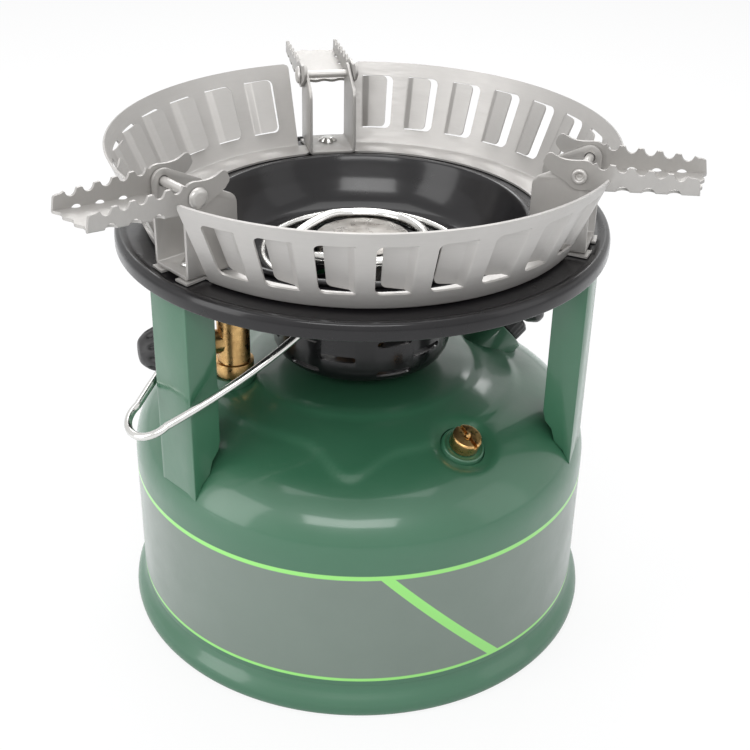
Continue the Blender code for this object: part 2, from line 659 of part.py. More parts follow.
# Flame ring on the bowl's floor
ring_foot = BOWL_FLOOR_TOP + GAP
ring_top = ring_foot + FLAME_RING_HEIGHT
ring_in = FLAME_RING_RADIUS - FLAME_RING_WIDTH / 2
ring_out = FLAME_RING_RADIUS + FLAME_RING_WIDTH / 2
ring_outline = [
    (ring_in, ring_foot),
    (ring_in, ring_top - FLAME_RING_SHEET),
    (ring_in + 0.8 * FLAME_RING_SHEET, ring_top),
    (ring_out - 0.8 * FLAME_RING_SHEET, ring_top),
    (ring_out, ring_top - FLAME_RING_SHEET),
    (ring_out, ring_foot),
    (ring_out - FLAME_RING_SHEET, ring_foot),
    (ring_out - FLAME_RING_SHEET, ring_top - FLAME_RING_SHEET),
    (ring_in + FLAME_RING_SHEET, ring_top - FLAME_RING_SHEET),
    (ring_in + FLAME_RING_SHEET, ring_foot),
]
add_turned("flame_ring", ring_outline, MEDIUM_STEPS, BRIGHT_STEEL)

# Jet block on the cup's floor, with the jet that screws into its top
block_foot = CUP_FLOOR_TOP + GAP
block_shoulder = block_foot + JET_SHOULDER_HEIGHT
block_top = block_foot + JET_BLOCK_HEIGHT
spigot_radius = BELL_TUBE_RADIUS - BELL_SHEET - GAP
add_turned("jet_block", [
    (0.0, block_top),
    (spigot_radius, block_top),
    (spigot_radius, block_shoulder),
    (JET_BLOCK_RADIUS, block_shoulder),
    (JET_BLOCK_RADIUS, block_foot),
    (0.0, block_foot),
], SMALL_STEPS, BRASS)
jet_foot = block_top + GAP
add_turned("jet", [
    (0.0, jet_foot + JET_HEIGHT),
    (0.4 * JET_RADIUS, jet_foot + JET_HEIGHT),
    (JET_RADIUS, jet_foot + 0.6 * JET_HEIGHT),
    (JET_RADIUS, jet_foot),
    (0.0, jet_foot),
], 6, BRASS)

# Mixing bell on the jet block's spigot
bell_foot = block_shoulder + GAP
bell_neck = bell_foot + BELL_TUBE_LENGTH
bell_rim = bell_neck + BELL_FLARE_HEIGHT
bell_flare_height_shares = (0.35, 0.68, 1.0)
bell_flare_radius_shares = (0.22, 0.74, 1.0)
bell_outside = [(BELL_TUBE_RADIUS, bell_foot), (BELL_TUBE_RADIUS, bell_neck)]
bell_inside = [(BELL_TUBE_RADIUS - BELL_SHEET, bell_foot), (BELL_TUBE_RADIUS - BELL_SHEET, bell_neck + 0.3 * BELL_SHEET)]
for up, outward in zip(bell_flare_height_shares, bell_flare_radius_shares):
    radius = BELL_TUBE_RADIUS + outward * (BELL_RIM_RADIUS - BELL_TUBE_RADIUS)
    height = bell_neck + up * BELL_FLARE_HEIGHT
    bell_outside.append((radius, height))
    bell_inside.append((radius - BELL_SHEET, height + (0.5 * BELL_SHEET if up < 1.0 else 0.0)))
burner_bell = add_turned("burner_bell", bell_outside + bell_inside[::-1], SMALL_STEPS, SATIN_STEEL)
air_shape = bmesh.new()
air_height = block_top + GAP + JET_HEIGHT + BELL_AIR_HOLE_RADIUS
for hole in range(BELL_AIR_HOLES // 2):
    rod = rod_shape(BELL_AIR_HOLE_RADIUS, -BELL_TUBE_RADIUS - OVERRUN, BELL_TUBE_RADIUS + OVERRUN, axis="X")
    bmesh.ops.rotate(rod, verts=rod.verts, matrix=Matrix.Rotation(hole * math.pi / 2, 3, "Z"))
    bmesh.ops.translate(rod, verts=rod.verts, vec=(0.0, 0.0, air_height))
    air_cutter = add_cutter("bell_air_cutter_" + str(hole), rod)
    take_away(burner_bell, air_cutter)

# Flame spreader, whose tabs stand on the bell's rim
spreader_foot = bell_rim + GAP + SPREADER_GAP
spreader = add_turned("flame_spreader", [
    (0.0, spreader_foot + 2 * SPREADER_SHEET),
    (0.55 * SPREADER_RADIUS, spreader_foot + 1.8 * SPREADER_SHEET),
    (SPREADER_RADIUS, spreader_foot + SPREADER_SHEET),
    (SPREADER_RADIUS, spreader_foot),
    (0.55 * SPREADER_RADIUS, spreader_foot + 0.8 * SPREADER_SHEET),
    (0.0, spreader_foot + SPREADER_SHEET),
], SMALL_STEPS, SATIN_STEEL)
tab_step = math.degrees(math.tau) / SPREADER_TABS
for tab in range(SPREADER_TABS):
    tab_shape = box_shape(
        (BELL_RIM_RADIUS - BELL_SHEET, -SPREADER_TAB_WIDTH / 2, bell_rim + GAP),
        (BELL_RIM_RADIUS, SPREADER_TAB_WIDTH / 2, spreader_foot + SPREADER_SHEET / 2), VALVE_ANGLE + tab * tab_step)
    join_on(spreader, add_cutter("spreader_tab_" + str(tab), tab_shape))

# Control valve: a bung in the dome, the body, its packing nut, spindle and knob
valve_seat = dome_height(VALVE_RADIUS)
valve_frame = add_frame("valve_frame", around(VALVE_RADIUS, VALVE_ANGLE, valve_seat), VALVE_ANGLE)
bung_top = VALVE_BUNG_HEIGHT
add_turned("valve_bung", [
    (VALVE_BUNG_RADIUS, bung_top),
    (VALVE_BUNG_RADIUS, -VALVE_BUNG_DEPTH),
    (VALVE_SHANK_RADIUS + GAP, -VALVE_BUNG_DEPTH),
    (VALVE_SHANK_RADIUS + GAP, bung_top),
], SMALL_STEPS, GREEN_PAINT, valve_frame)
body_foot = bung_top + GAP
body_top = BAIL_PIVOT_HEIGHT - LUG_DEPTH - VALVE_LUG_CLEARANCE - valve_seat
shank_foot = -VALVE_BUNG_DEPTH - GAP
valve_body = add_turned("valve_body", [
    (0.0, body_top),
    (0.7 * VALVE_BODY_RADIUS, body_top),
    (VALVE_BODY_RADIUS, body_top - 0.3 * VALVE_BODY_RADIUS),
    (VALVE_BODY_RADIUS, body_foot + VALVE_COLLAR_HEIGHT),
    (VALVE_COLLAR_RADIUS, body_foot + VALVE_COLLAR_HEIGHT),
    (VALVE_COLLAR_RADIUS, body_foot),
    (VALVE_SHANK_RADIUS, body_foot),
    (VALVE_SHANK_RADIUS, shank_foot),
    (0.0, shank_foot),
], SMALL_STEPS, BRASS, valve_frame)
arm_height = body_foot + VALVE_ARM_HEIGHT
arm_end = VALVE_BODY_RADIUS + VALVE_ARM_LENGTH
outlet_height = body_foot + VALVE_OUTLET_HEIGHT
outlet_end = VALVE_OUTLET_LENGTH
join_on(valve_body, add_cutter("valve_side_arm", rod_shape(VALVE_ARM_RADIUS, 0.0, arm_end, axis="X"),
                               valve_frame, (0.0, 0.0, arm_height)))
join_on(valve_body, add_cutter("valve_outlet_arm", rod_shape(VALVE_OUTLET_RADIUS, -outlet_end, 0.0, axis="X"),
                               valve_frame, (0.0, 0.0, outlet_height)))
take_away(valve_body, add_cutter("valve_bore_cutter",
                                 rod_shape(VALVE_BORE_RADIUS, arm_end - SPINDLE_DEPTH - GAP, arm_end + OVERRUN, axis="X"),
                                 valve_frame, (0.0, 0.0, arm_height)))
spindle_frame = add_frame("spindle_frame", (0.0, 0.0, arm_height), 0.0, 90.0, valve_frame)
nut_foot = arm_end + GAP
add_turned("packing_nut", [
    (NUT_RADIUS, nut_foot),
    (NUT_RADIUS, nut_foot + 0.8 * NUT_LENGTH),
    (0.8 * NUT_RADIUS, nut_foot + NUT_LENGTH),
    (SPINDLE_RADIUS + GAP, nut_foot + NUT_LENGTH),
    (SPINDLE_RADIUS + GAP, nut_foot),
], 6, BRASS, spindle_frame)
spindle_foot = arm_end - SPINDLE_DEPTH
knob_foot = nut_foot + NUT_LENGTH + KNOB_STANDOFF
spindle_end = knob_foot + KNOB_BORE_DEPTH - GAP
add_turned("valve_spindle", [
    (0.0, spindle_end),
    (SPINDLE_RADIUS, spindle_end),
    (SPINDLE_RADIUS, spindle_foot + SPINDLE_RADIUS),
    (0.0, spindle_foot),
], TINY_STEPS, BRASS, spindle_frame)
add_turned("control_knob", [
    (0.0, knob_foot + KNOB_LENGTH),
    (KNOB_NOSE_RADIUS, knob_foot + 0.97 * KNOB_LENGTH),
    (0.66 * KNOB_RADIUS, knob_foot + 0.8 * KNOB_LENGTH),
    (0.86 * KNOB_RADIUS, knob_foot + 0.52 * KNOB_LENGTH),
    (KNOB_RADIUS, knob_foot + 0.12 * KNOB_LENGTH),
    (0.95 * KNOB_RADIUS, knob_foot),
    (SPINDLE_RADIUS + GAP, knob_foot),
    (SPINDLE_RADIUS + GAP, knob_foot + KNOB_BORE_DEPTH),
    (0.0, knob_foot + KNOB_BORE_DEPTH),
], 2 * KNOB_FLUTES, BLACK_PLASTIC, spindle_frame,
    flutes=KNOB_FLUTES, flute_depth=KNOB_FLUTE_DEPTH, flute_from=0.7 * KNOB_RADIUS)
pickup_top = shank_foot - GAP
pickup_foot = BASE_PLATE + PICKUP_FLOOR_CLEARANCE - valve_seat
add_turned("pickup_tube", [
    (PICKUP_RADIUS, pickup_top),
    (PICKUP_RADIUS, pickup_foot),
    (0.5 * PICKUP_RADIUS, pickup_foot),
    (0.5 * PICKUP_RADIUS, pickup_top),
], TINY_STEPS, BRASS, valve_frame)
take_away(tank_shell, add_cutter("valve_hole_cutter", rod_shape(
    VALVE_BUNG_RADIUS + GAP, -VALVE_BUNG_DEPTH - OVERRUN, VALVE_BUNG_HEIGHT + OVERRUN, SMALL_STEPS), valve_frame))

# Generator tube: from the valve's outlet up through the cup, once round above the burner and down to the jet block
outlet_world = valve_seat + outlet_height
loop_height = BOWL_FLOOR_TOP + GENERATOR_LOOP_HEIGHT
tube_start = VALVE_RADIUS - outlet_end - GAP
inlet_height = block_foot + JET_SHOULDER_HEIGHT / 2
return_angle = VALVE_ANGLE + GENERATOR_RETURN_ANGLE
stops = [
    around(tube_start, VALVE_ANGLE, outlet_world),
    around((tube_start + CUP_RADIUS) / 2, VALVE_ANGLE, outlet_world),
    around(CUP_RADIUS - GENERATOR_TUBE_RADIUS, VALVE_ANGLE, outlet_world + 0.15 * GENERATOR_TUBE_RADIUS),
    around(GENERATOR_RISER_RADIUS, VALVE_ANGLE, outlet_world + 2 * GENERATOR_TUBE_RADIUS),
    around(GENERATOR_RISER_RADIUS - 0.2 * GENERATOR_TUBE_RADIUS, VALVE_ANGLE, (outlet_world + loop_height) / 2),
    around(GENERATOR_RISER_RADIUS - 0.2 * GENERATOR_TUBE_RADIUS, VALVE_ANGLE, loop_height - 2.4 * GENERATOR_TUBE_RADIUS),
]
loop_turn_share = (0.0, 0.11, 0.22, 0.33, 0.44, 0.56, 0.67, 0.78, 0.89, 1.0)
for share in loop_turn_share:
    turn = GENERATOR_LOOP_START_ANGLE + share * (GENERATOR_LOOP_END_ANGLE - GENERATOR_LOOP_START_ANGLE)
    stops.append(around(GENERATOR_LOOP_RADIUS, VALVE_ANGLE + turn, loop_height))
stops += [
    around(GENERATOR_RISER_RADIUS, return_angle, loop_height - 2.4 * GENERATOR_TUBE_RADIUS),
    around(GENERATOR_RISER_RADIUS, return_angle, (loop_height + inlet_height) / 2),
    around(GENERATOR_RISER_RADIUS, return_angle, inlet_height + 3 * GENERATOR_TUBE_RADIUS),
    around(GENERATOR_RISER_RADIUS - 2.4 * GENERATOR_TUBE_RADIUS, return_angle, inlet_height + 0.3 * GENERATOR_TUBE_RADIUS),
    around((GENERATOR_RISER_RADIUS + JET_BLOCK_RADIUS) / 2, return_angle, inlet_height),
    around(JET_BLOCK_RADIUS + GAP, return_angle, inlet_height),
]
add_tube("generator_tube", smooth_route(stops, GENERATOR_STEPS), GENERATOR_TUBE_RADIUS, 2, BRIGHT_STEEL)
take_away(burner_cup, add_cutter("cup_tube_cutter", rod_shape(
    GENERATOR_TUBE_RADIUS + 2 * GAP, -VALVE_RADIUS + CUP_FLOOR_RADIUS, -VALVE_RADIUS + CUP_RADIUS + OVERRUN,
    axis="X"), valve_frame, (0.0, 0.0, outlet_height)))

# Pump: a bung in the dome, the barrel inside the tank, and the rod with its piston and knob
pump_seat = dome_height(PUMP_RADIUS)
pump_frame = add_frame("pump_frame", around(PUMP_RADIUS, PUMP_ANGLE, pump_seat), PUMP_ANGLE, PUMP_TILT)
barrel_inner = PUMP_BARREL_RADIUS - PUMP_BARREL_WALL
add_turned("pump_bung", [
    (PUMP_BUNG_RADIUS, PUMP_BUNG_HEIGHT),
    (PUMP_BUNG_RADIUS, -PUMP_BUNG_DEPTH),
    (PUMP_BARREL_RADIUS + GAP, -PUMP_BUNG_DEPTH),
    (PUMP_BARREL_RADIUS + GAP, PUMP_BUNG_HEIGHT),
], SMALL_STEPS, GREEN_PAINT, pump_frame)
take_away(tank_shell, add_cutter("pump_hole_cutter", rod_shape(
    PUMP_BUNG_RADIUS + GAP, -PUMP_BUNG_DEPTH - OVERRUN, PUMP_BUNG_HEIGHT + OVERRUN, SMALL_STEPS), pump_frame))
barrel_foot = PUMP_BUNG_HEIGHT - PUMP_BARREL_LENGTH
add_turned("pump_barrel", [
    (PUMP_BARREL_RADIUS, PUMP_BUNG_HEIGHT),
    (PUMP_BARREL_RADIUS, barrel_foot),
    (barrel_inner, barrel_foot),
    (barrel_inner, PUMP_BUNG_HEIGHT),
], SMALL_STEPS, BRASS, pump_frame)
check_foot = barrel_foot
check_top = barrel_foot + PUMP_CHECK_HEIGHT
add_turned("pump_check_valve", [
    (0.0, check_top),
    (0.5 * barrel_inner, check_top),
    (barrel_inner - GAP, check_top - 0.4 * PUMP_CHECK_HEIGHT),
    (barrel_inner - GAP, check_foot),
    (0.0, check_foot),
], SMALL_STEPS, BRASS, pump_frame)
cap_foot = PUMP_BUNG_HEIGHT + GAP
cap_top = cap_foot + PUMP_CAP_HEIGHT
add_turned("pump_cap", [
    (PUMP_CAP_RADIUS, cap_foot),
    (PUMP_CAP_RADIUS, cap_top - 0.2 * PUMP_CAP_HEIGHT),
    (0.8 * PUMP_CAP_RADIUS, cap_top),
    (PUMP_ROD_RADIUS + GAP, cap_top),
    (PUMP_ROD_RADIUS + GAP, cap_foot),
], SMALL_STEPS, BLACK_PLASTIC, pump_frame)
knob_low = cap_top + PUMP_KNOB_STANDOFF
rod_end = knob_low + PUMP_KNOB_BORE_DEPTH - GAP
piston_foot = check_top + PUMP_PISTON_CLEARANCE
add_turned("pump_rod", [
    (0.0, rod_end),
    (PUMP_ROD_RADIUS, rod_end),
    (PUMP_ROD_RADIUS, piston_foot),
    (0.0, piston_foot),
], TINY_STEPS, BRIGHT_STEEL, pump_frame)
add_turned("pump_piston", [
    (PUMP_ROD_RADIUS + GAP, piston_foot + PUMP_PISTON_HEIGHT),
    (0.7 * barrel_inner, piston_foot + PUMP_PISTON_HEIGHT),
    (barrel_inner - GAP, piston_foot + 0.7 * PUMP_PISTON_HEIGHT),
    (barrel_inner - GAP, piston_foot),
    (PUMP_ROD_RADIUS + GAP, piston_foot),
], SMALL_STEPS, LEATHER, pump_frame)
add_turned("pump_knob", [
    (0.0, knob_low + PUMP_KNOB_HEIGHT),
    (0.7 * PUMP_KNOB_RADIUS, knob_low + PUMP_KNOB_HEIGHT),
    (PUMP_KNOB_RADIUS, knob_low + 0.72 * PUMP_KNOB_HEIGHT),
    (PUMP_KNOB_RADIUS, knob_low + 0.36 * PUMP_KNOB_HEIGHT),
    (0.6 * PUMP_KNOB_RADIUS, knob_low),
    (PUMP_ROD_RADIUS + GAP, knob_low),
    (PUMP_ROD_RADIUS + GAP, knob_low + PUMP_KNOB_BORE_DEPTH),
    (0.0, knob_low + PUMP_KNOB_BORE_DEPTH),
], SMALL_STEPS, BLACK_PLASTIC, pump_frame)

# Filler: the neck in the dome, a gasket on its lip and the screw cap over both
filler_seat = dome_height(FILLER_RADIUS)
filler_frame = add_frame("filler_frame", around(FILLER_RADIUS, FILLER_ANGLE, filler_seat), FILLER_ANGLE, FILLER_TILT)
neck_inner = FILLER_NECK_RADIUS - FILLER_NECK_WALL
add_turned("filler_neck", [
    (FILLER_NECK_RADIUS, FILLER_NECK_HEIGHT),
    (FILLER_NECK_RADIUS, -FILLER_NECK_DEPTH),
    (neck_inner, -FILLER_NECK_DEPTH),
    (neck_inner, FILLER_NECK_HEIGHT),
], SMALL_STEPS, GREEN_PAINT, filler_frame)
take_away(tank_shell, add_cutter("filler_hole_cutter", rod_shape(
    FILLER_NECK_RADIUS + GAP, -FILLER_NECK_DEPTH - OVERRUN, FILLER_NECK_HEIGHT + OVERRUN, SMALL_STEPS), filler_frame))
gasket_foot = FILLER_NECK_HEIGHT + GAP
gasket_top = gasket_foot + FILLER_GASKET_HEIGHT
add_turned("filler_gasket", [
    (FILLER_NECK_RADIUS, gasket_top),
    (FILLER_NECK_RADIUS, gasket_foot),
    (neck_inner, gasket_foot),
    (neck_inner, gasket_top),
], SMALL_STEPS, RUBBER, filler_frame)
crown_foot = gasket_top + GAP
crown_top = crown_foot + FILLER_CAP_TOP
skirt_foot = FILLER_NECK_HEIGHT - FILLER_CAP_SKIRT
skirt_inner = FILLER_NECK_RADIUS + GAP
add_turned("filler_cap", [
    (0.0, crown_top),
    (0.8 * FILLER_CAP_RADIUS, crown_top),
    (FILLER_CAP_RADIUS, crown_top - 0.3 * FILLER_CAP_TOP),
    (FILLER_CAP_RADIUS, skirt_foot),
    (skirt_inner, skirt_foot),
    (skirt_inner, crown_foot),
    (0.0, crown_foot),
], LARGE_STEPS // 2, BLACK_PLASTIC, filler_frame,
    flutes=LARGE_STEPS // 4, flute_depth=FILLER_CAP_FLUTE_DEPTH, flute_from=0.9 * FILLER_CAP_RADIUS)

# Pressure relief valve: a bung, the slotted body, and the pin with its spring
relief_seat = dome_height(RELIEF_RADIUS)
relief_frame = add_frame("relief_frame", around(RELIEF_RADIUS, RELIEF_ANGLE, relief_seat), RELIEF_ANGLE, RELIEF_TILT)
add_turned("relief_bung", [
    (RELIEF_BUNG_RADIUS, RELIEF_BUNG_HEIGHT),
    (RELIEF_BUNG_RADIUS, -RELIEF_BUNG_DEPTH),
    (RELIEF_SHANK_RADIUS + GAP, -RELIEF_BUNG_DEPTH),
    (RELIEF_SHANK_RADIUS + GAP, -RELIEF_SEAT_DEPTH),
    (RELIEF_SEAT_RADIUS, -RELIEF_SEAT_DEPTH),
    (0.9 * RELIEF_BUNG_RADIUS, RELIEF_BUNG_HEIGHT),
], SMALL_STEPS, GREEN_PAINT, relief_frame)
take_away(tank_shell, add_cutter("relief_hole_cutter", rod_shape(
    RELIEF_BUNG_RADIUS + GAP, -RELIEF_BUNG_DEPTH - OVERRUN, RELIEF_BUNG_HEIGHT + OVERRUN, SMALL_STEPS), relief_frame))
head_foot = GAP - RELIEF_SEAT_DEPTH
head_top = head_foot + RELIEF_HEAD_HEIGHT
shank_end = -RELIEF_SHANK_DEPTH
bore_top = shank_end + RELIEF_BORE_DEPTH
relief_body = add_turned("relief_body", [
    (RELIEF_PIN_RADIUS + GAP, head_top),
    (0.9 * RELIEF_HEAD_RADIUS, head_top),
    (RELIEF_HEAD_RADIUS, head_top - 0.1 * RELIEF_HEAD_HEIGHT),
    (RELIEF_HEAD_RADIUS, head_foot),
    (RELIEF_SHANK_RADIUS, head_foot),
    (RELIEF_SHANK_RADIUS, shank_end),
    (RELIEF_LIP_RADIUS, shank_end),
    (RELIEF_LIP_RADIUS, shank_end + RELIEF_LIP_HEIGHT),
    (RELIEF_BORE_RADIUS, shank_end + RELIEF_LIP_HEIGHT),
    (RELIEF_BORE_RADIUS, bore_top),
    (RELIEF_PIN_RADIUS + GAP, bore_top),
], SMALL_STEPS, BRASS, relief_frame)
take_away(relief_body, add_cutter("relief_slot_cutter", box_shape(
    (-RELIEF_HEAD_RADIUS - OVERRUN, -RELIEF_SLOT_WIDTH / 2, head_top - RELIEF_SLOT_DEPTH),
    (RELIEF_HEAD_RADIUS + OVERRUN, RELIEF_SLOT_WIDTH / 2, head_top + OVERRUN)), relief_frame))
collar_top = bore_top - GAP
collar_foot = collar_top - RELIEF_COLLAR_HEIGHT
pin_top = head_top + RELIEF_PIN_STAND
add_turned("relief_pin", [
    (0.0, pin_top),
    (0.7 * RELIEF_PIN_RADIUS, pin_top - 0.3 * RELIEF_PIN_RADIUS),
    (RELIEF_PIN_RADIUS, pin_top - RELIEF_PIN_RADIUS),
    (RELIEF_PIN_RADIUS, collar_top),
    (RELIEF_COLLAR_RADIUS, collar_top),
    (RELIEF_COLLAR_RADIUS, collar_foot),
    (0.0, collar_foot),
], TINY_STEPS, BRASS, relief_frame)
spring_top = collar_foot - GAP - RELIEF_SPRING_WIRE_RADIUS
spring_foot = shank_end + RELIEF_LIP_HEIGHT + GAP + RELIEF_SPRING_WIRE_RADIUS
spring_points = []
spring_steps = 8 * RELIEF_SPRING_TURNS
for step in range(spring_steps + 1):
    share = step / spring_steps
    turn = math.tau * RELIEF_SPRING_TURNS * share
    spring_points.append((RELIEF_SPRING_RADIUS * math.cos(turn), RELIEF_SPRING_RADIUS * math.sin(turn),
                          spring_top - share * (spring_top - spring_foot)))
add_tube("relief_spring", spring_points, RELIEF_SPRING_WIRE_RADIUS, 1, BRIGHT_STEEL, relief_frame)


# Points of a bracket ear: an upright edge, a sloping shoulder and a round about the pivot
def ear_outline():
    shoulder = Vector((BRACKET_INNER_RADIUS - PIVOT_RADIUS, EAR_SHOULDER_HEIGHT - PIVOT_HEIGHT))
    lean = math.atan2(shoulder.y, shoulder.x) % math.tau
    first = lean - math.acos(EAR_ROUND / shoulder.length)
    outline = [(BRACKET_OUTER_RADIUS, BRACKET_BASE_HEIGHT)]
    for step in range(EAR_ARC_POINTS + 1):
        angle = first * step / EAR_ARC_POINTS
        outline.append((PIVOT_RADIUS + EAR_ROUND * math.cos(angle), PIVOT_HEIGHT + EAR_ROUND * math.sin(angle)))
    outline.append((BRACKET_INNER_RADIUS, EAR_SHOULDER_HEIGHT))
    outline.append((BRACKET_INNER_RADIUS, BRACKET_BASE_HEIGHT))
    return outline


# Points of a pot support's wall, from the web's inner end round to its outer end, relative to the pivot
def arm_outline():
    web_start = EAR_ROUND + GAP
    outline = [(web_start, -ARM_ROOT_BOTTOM), (ARM_LENGTH, -ARM_TIP_BOTTOM)]
    tooth_run = (ARM_LENGTH - ARM_TOOTH_FIRST) / ARM_TEETH
    tip_drop = (ARM_TOP - ARM_TIP_TOP) / ARM_LENGTH
    tooth_shares = ((0.0, 0.9), (0.3, 1.0), (0.48, 0.35), (0.74, 0.0), (0.92, 0.4))
    for tooth in range(ARM_TEETH):
        for along, up in tooth_shares:
            reach = ARM_LENGTH - (tooth + along) * tooth_run
            crest = ARM_TOP - tip_drop * reach
            outline.append((reach, crest - (1.0 - up) * ARM_TOOTH_HEIGHT))
    outline += [
        (0.0, ARM_TOP + 0.2 * ARM_TOOTH_HEIGHT),
        (-0.5 * ARM_NOSE_LENGTH, (ARM_TOP + ARM_NOSE_TOP) / 2),
        (-0.85 * ARM_NOSE_LENGTH, ARM_NOSE_TOP),
        (-ARM_NOSE_LENGTH, ARM_NOSE_BOTTOM),
    ]
    heel_turn_shares = (0.0, 0.3, 0.6, 1.0)
    for share in heel_turn_shares:
        angle = math.radians(ARM_HEEL_START_ANGLE + share * ARM_HEEL_SWEEP_ANGLE)
        outline.append((ARM_HEEL_RADIUS * math.cos(angle), ARM_HEEL_RADIUS * math.sin(angle)))
    return outline


# One windscreen segment's middle surface, from its start angle to its end angle
def screen_point(angle, up, inward=0.0):
    share = up / SCREEN_HEIGHT
    radius = SCREEN_FOOT_RADIUS + share * SCREEN_LEAN - inward
    return tuple(around(radius, angle, SCREEN_FLANGE_HEIGHT + up))


def flange_point(angle, radius):
    return tuple(around(radius, angle, SCREEN_FLANGE_HEIGHT))


def screen_faces():
    faces = []
    flange_inner = SCREEN_FOOT_RADIUS - SCREEN_FLANGE_WIDTH
    levels = (0.0, LOUVRE_FOOT, SCREEN_HEIGHT - LOUVRE_HEAD, SCREEN_HEIGHT)
    angles = [SCREEN_START_ANGLE]
    for louvre in range(LOUVRES):
        start = LOUVRE_FIRST_ANGLE + louvre * LOUVRE_PITCH_ANGLE
        angles += [start, start + LOUVRE_WIDTH_ANGLE / 2, start + LOUVRE_WIDTH_ANGLE]
    angles.append(SCREEN_END_ANGLE)
    for index, (low, high) in enumerate(zip(angles[:-1], angles[1:])):
        faces.append([flange_point(low, flange_inner), flange_point(high, flange_inner),
                      screen_point(high, 0.0), screen_point(low, 0.0)])
        faces.append([screen_point(low, levels[0]), screen_point(high, levels[0]),
                      screen_point(high, levels[1]), screen_point(low, levels[1])])
        faces.append([screen_point(low, levels[2]), screen_point(high, levels[2]),
                      screen_point(high, levels[3]), screen_point(low, levels[3])])
        column = index % 3
        if column == 0:
            faces.append([screen_point(low, levels[1]), screen_point(high, levels[1]),
                          screen_point(high, levels[2]), screen_point(low, levels[2])])
            continue
        deep = LOUVRE_DEPTH * (1.0, 0.5)[column - 1]
        shallow = LOUVRE_DEPTH * (0.5, 0.0)[column - 1]
        foot, head = levels[1] + LOUVRE_BEVEL, levels[2] - LOUVRE_BEVEL
        faces.append([screen_point(low, levels[1]), screen_point(high, levels[1]),
                      screen_point(high, foot, shallow), screen_point(low, foot, deep)])
        faces.append([screen_point(low, foot, deep), screen_point(high, foot, shallow),
                      screen_point(high, head, shallow), screen_point(low, head, deep)])
        faces.append([screen_point(low, head, deep), screen_point(high, head, shallow),
                      screen_point(high, levels[2]), screen_point(low, levels[2])])
    reach = SCREEN_FOOT_RADIUS + SCREEN_TAB_REACH
    inner = flange_inner + SCREEN_FLANGE_WIDTH / 5
    for edge, side in ((SCREEN_START_ANGLE, -1.0), (SCREEN_END_ANGLE, 1.0)):
        station = 0.0 if side < 0.0 else STATION_STEP_ANGLE
        tip = station - side * SCREEN_TAB_ANGLE
        bend = edge + 0.35 * (tip - edge)
        faces.append([flange_point(edge, flange_inner), flange_point(edge, SCREEN_FOOT_RADIUS),
                      flange_point(bend, SCREEN_FOOT_RADIUS), flange_point(bend, inner)])
        faces.append([flange_point(bend, inner), flange_point(bend, SCREEN_FOOT_RADIUS),
                      flange_point(tip, SCREEN_FOOT_RADIUS), flange_point(tip, inner)])
        faces.append([flange_point(bend, SCREEN_FOOT_RADIUS), flange_point(bend, reach),
                      flange_point(tip, reach), flange_point(tip, SCREEN_FOOT_RADIUS)])
    return faces


# Points of a leg's side flange, from its foot corner up to the tray
leg_face = LEG_FACE_RADIUS - LEG_SHEET / 2
leg_side = (LEG_WIDTH - LEG_SHEET) / 2
leg_inner = LEG_FACE_RADIUS - LEG_DEPTH
leg_tab_height = LEG_TOP - LEG_SHEET / 2
leg_tab_side = leg_side - LEG_SHEET / 2 - LEG_TAB_RELIEF
leg_low = dome_height(LEG_FACE_RADIUS) - OVERRUN
leg_corner_height = dome_height(leg_inner)

# The dome's outer skin, grown by the gap, trims every leg's foot
dome_shape = turned_shape(dome_outline(0.0, GAP) + [(0.0, TANK_WALL_FOOT)], LARGE_STEPS)

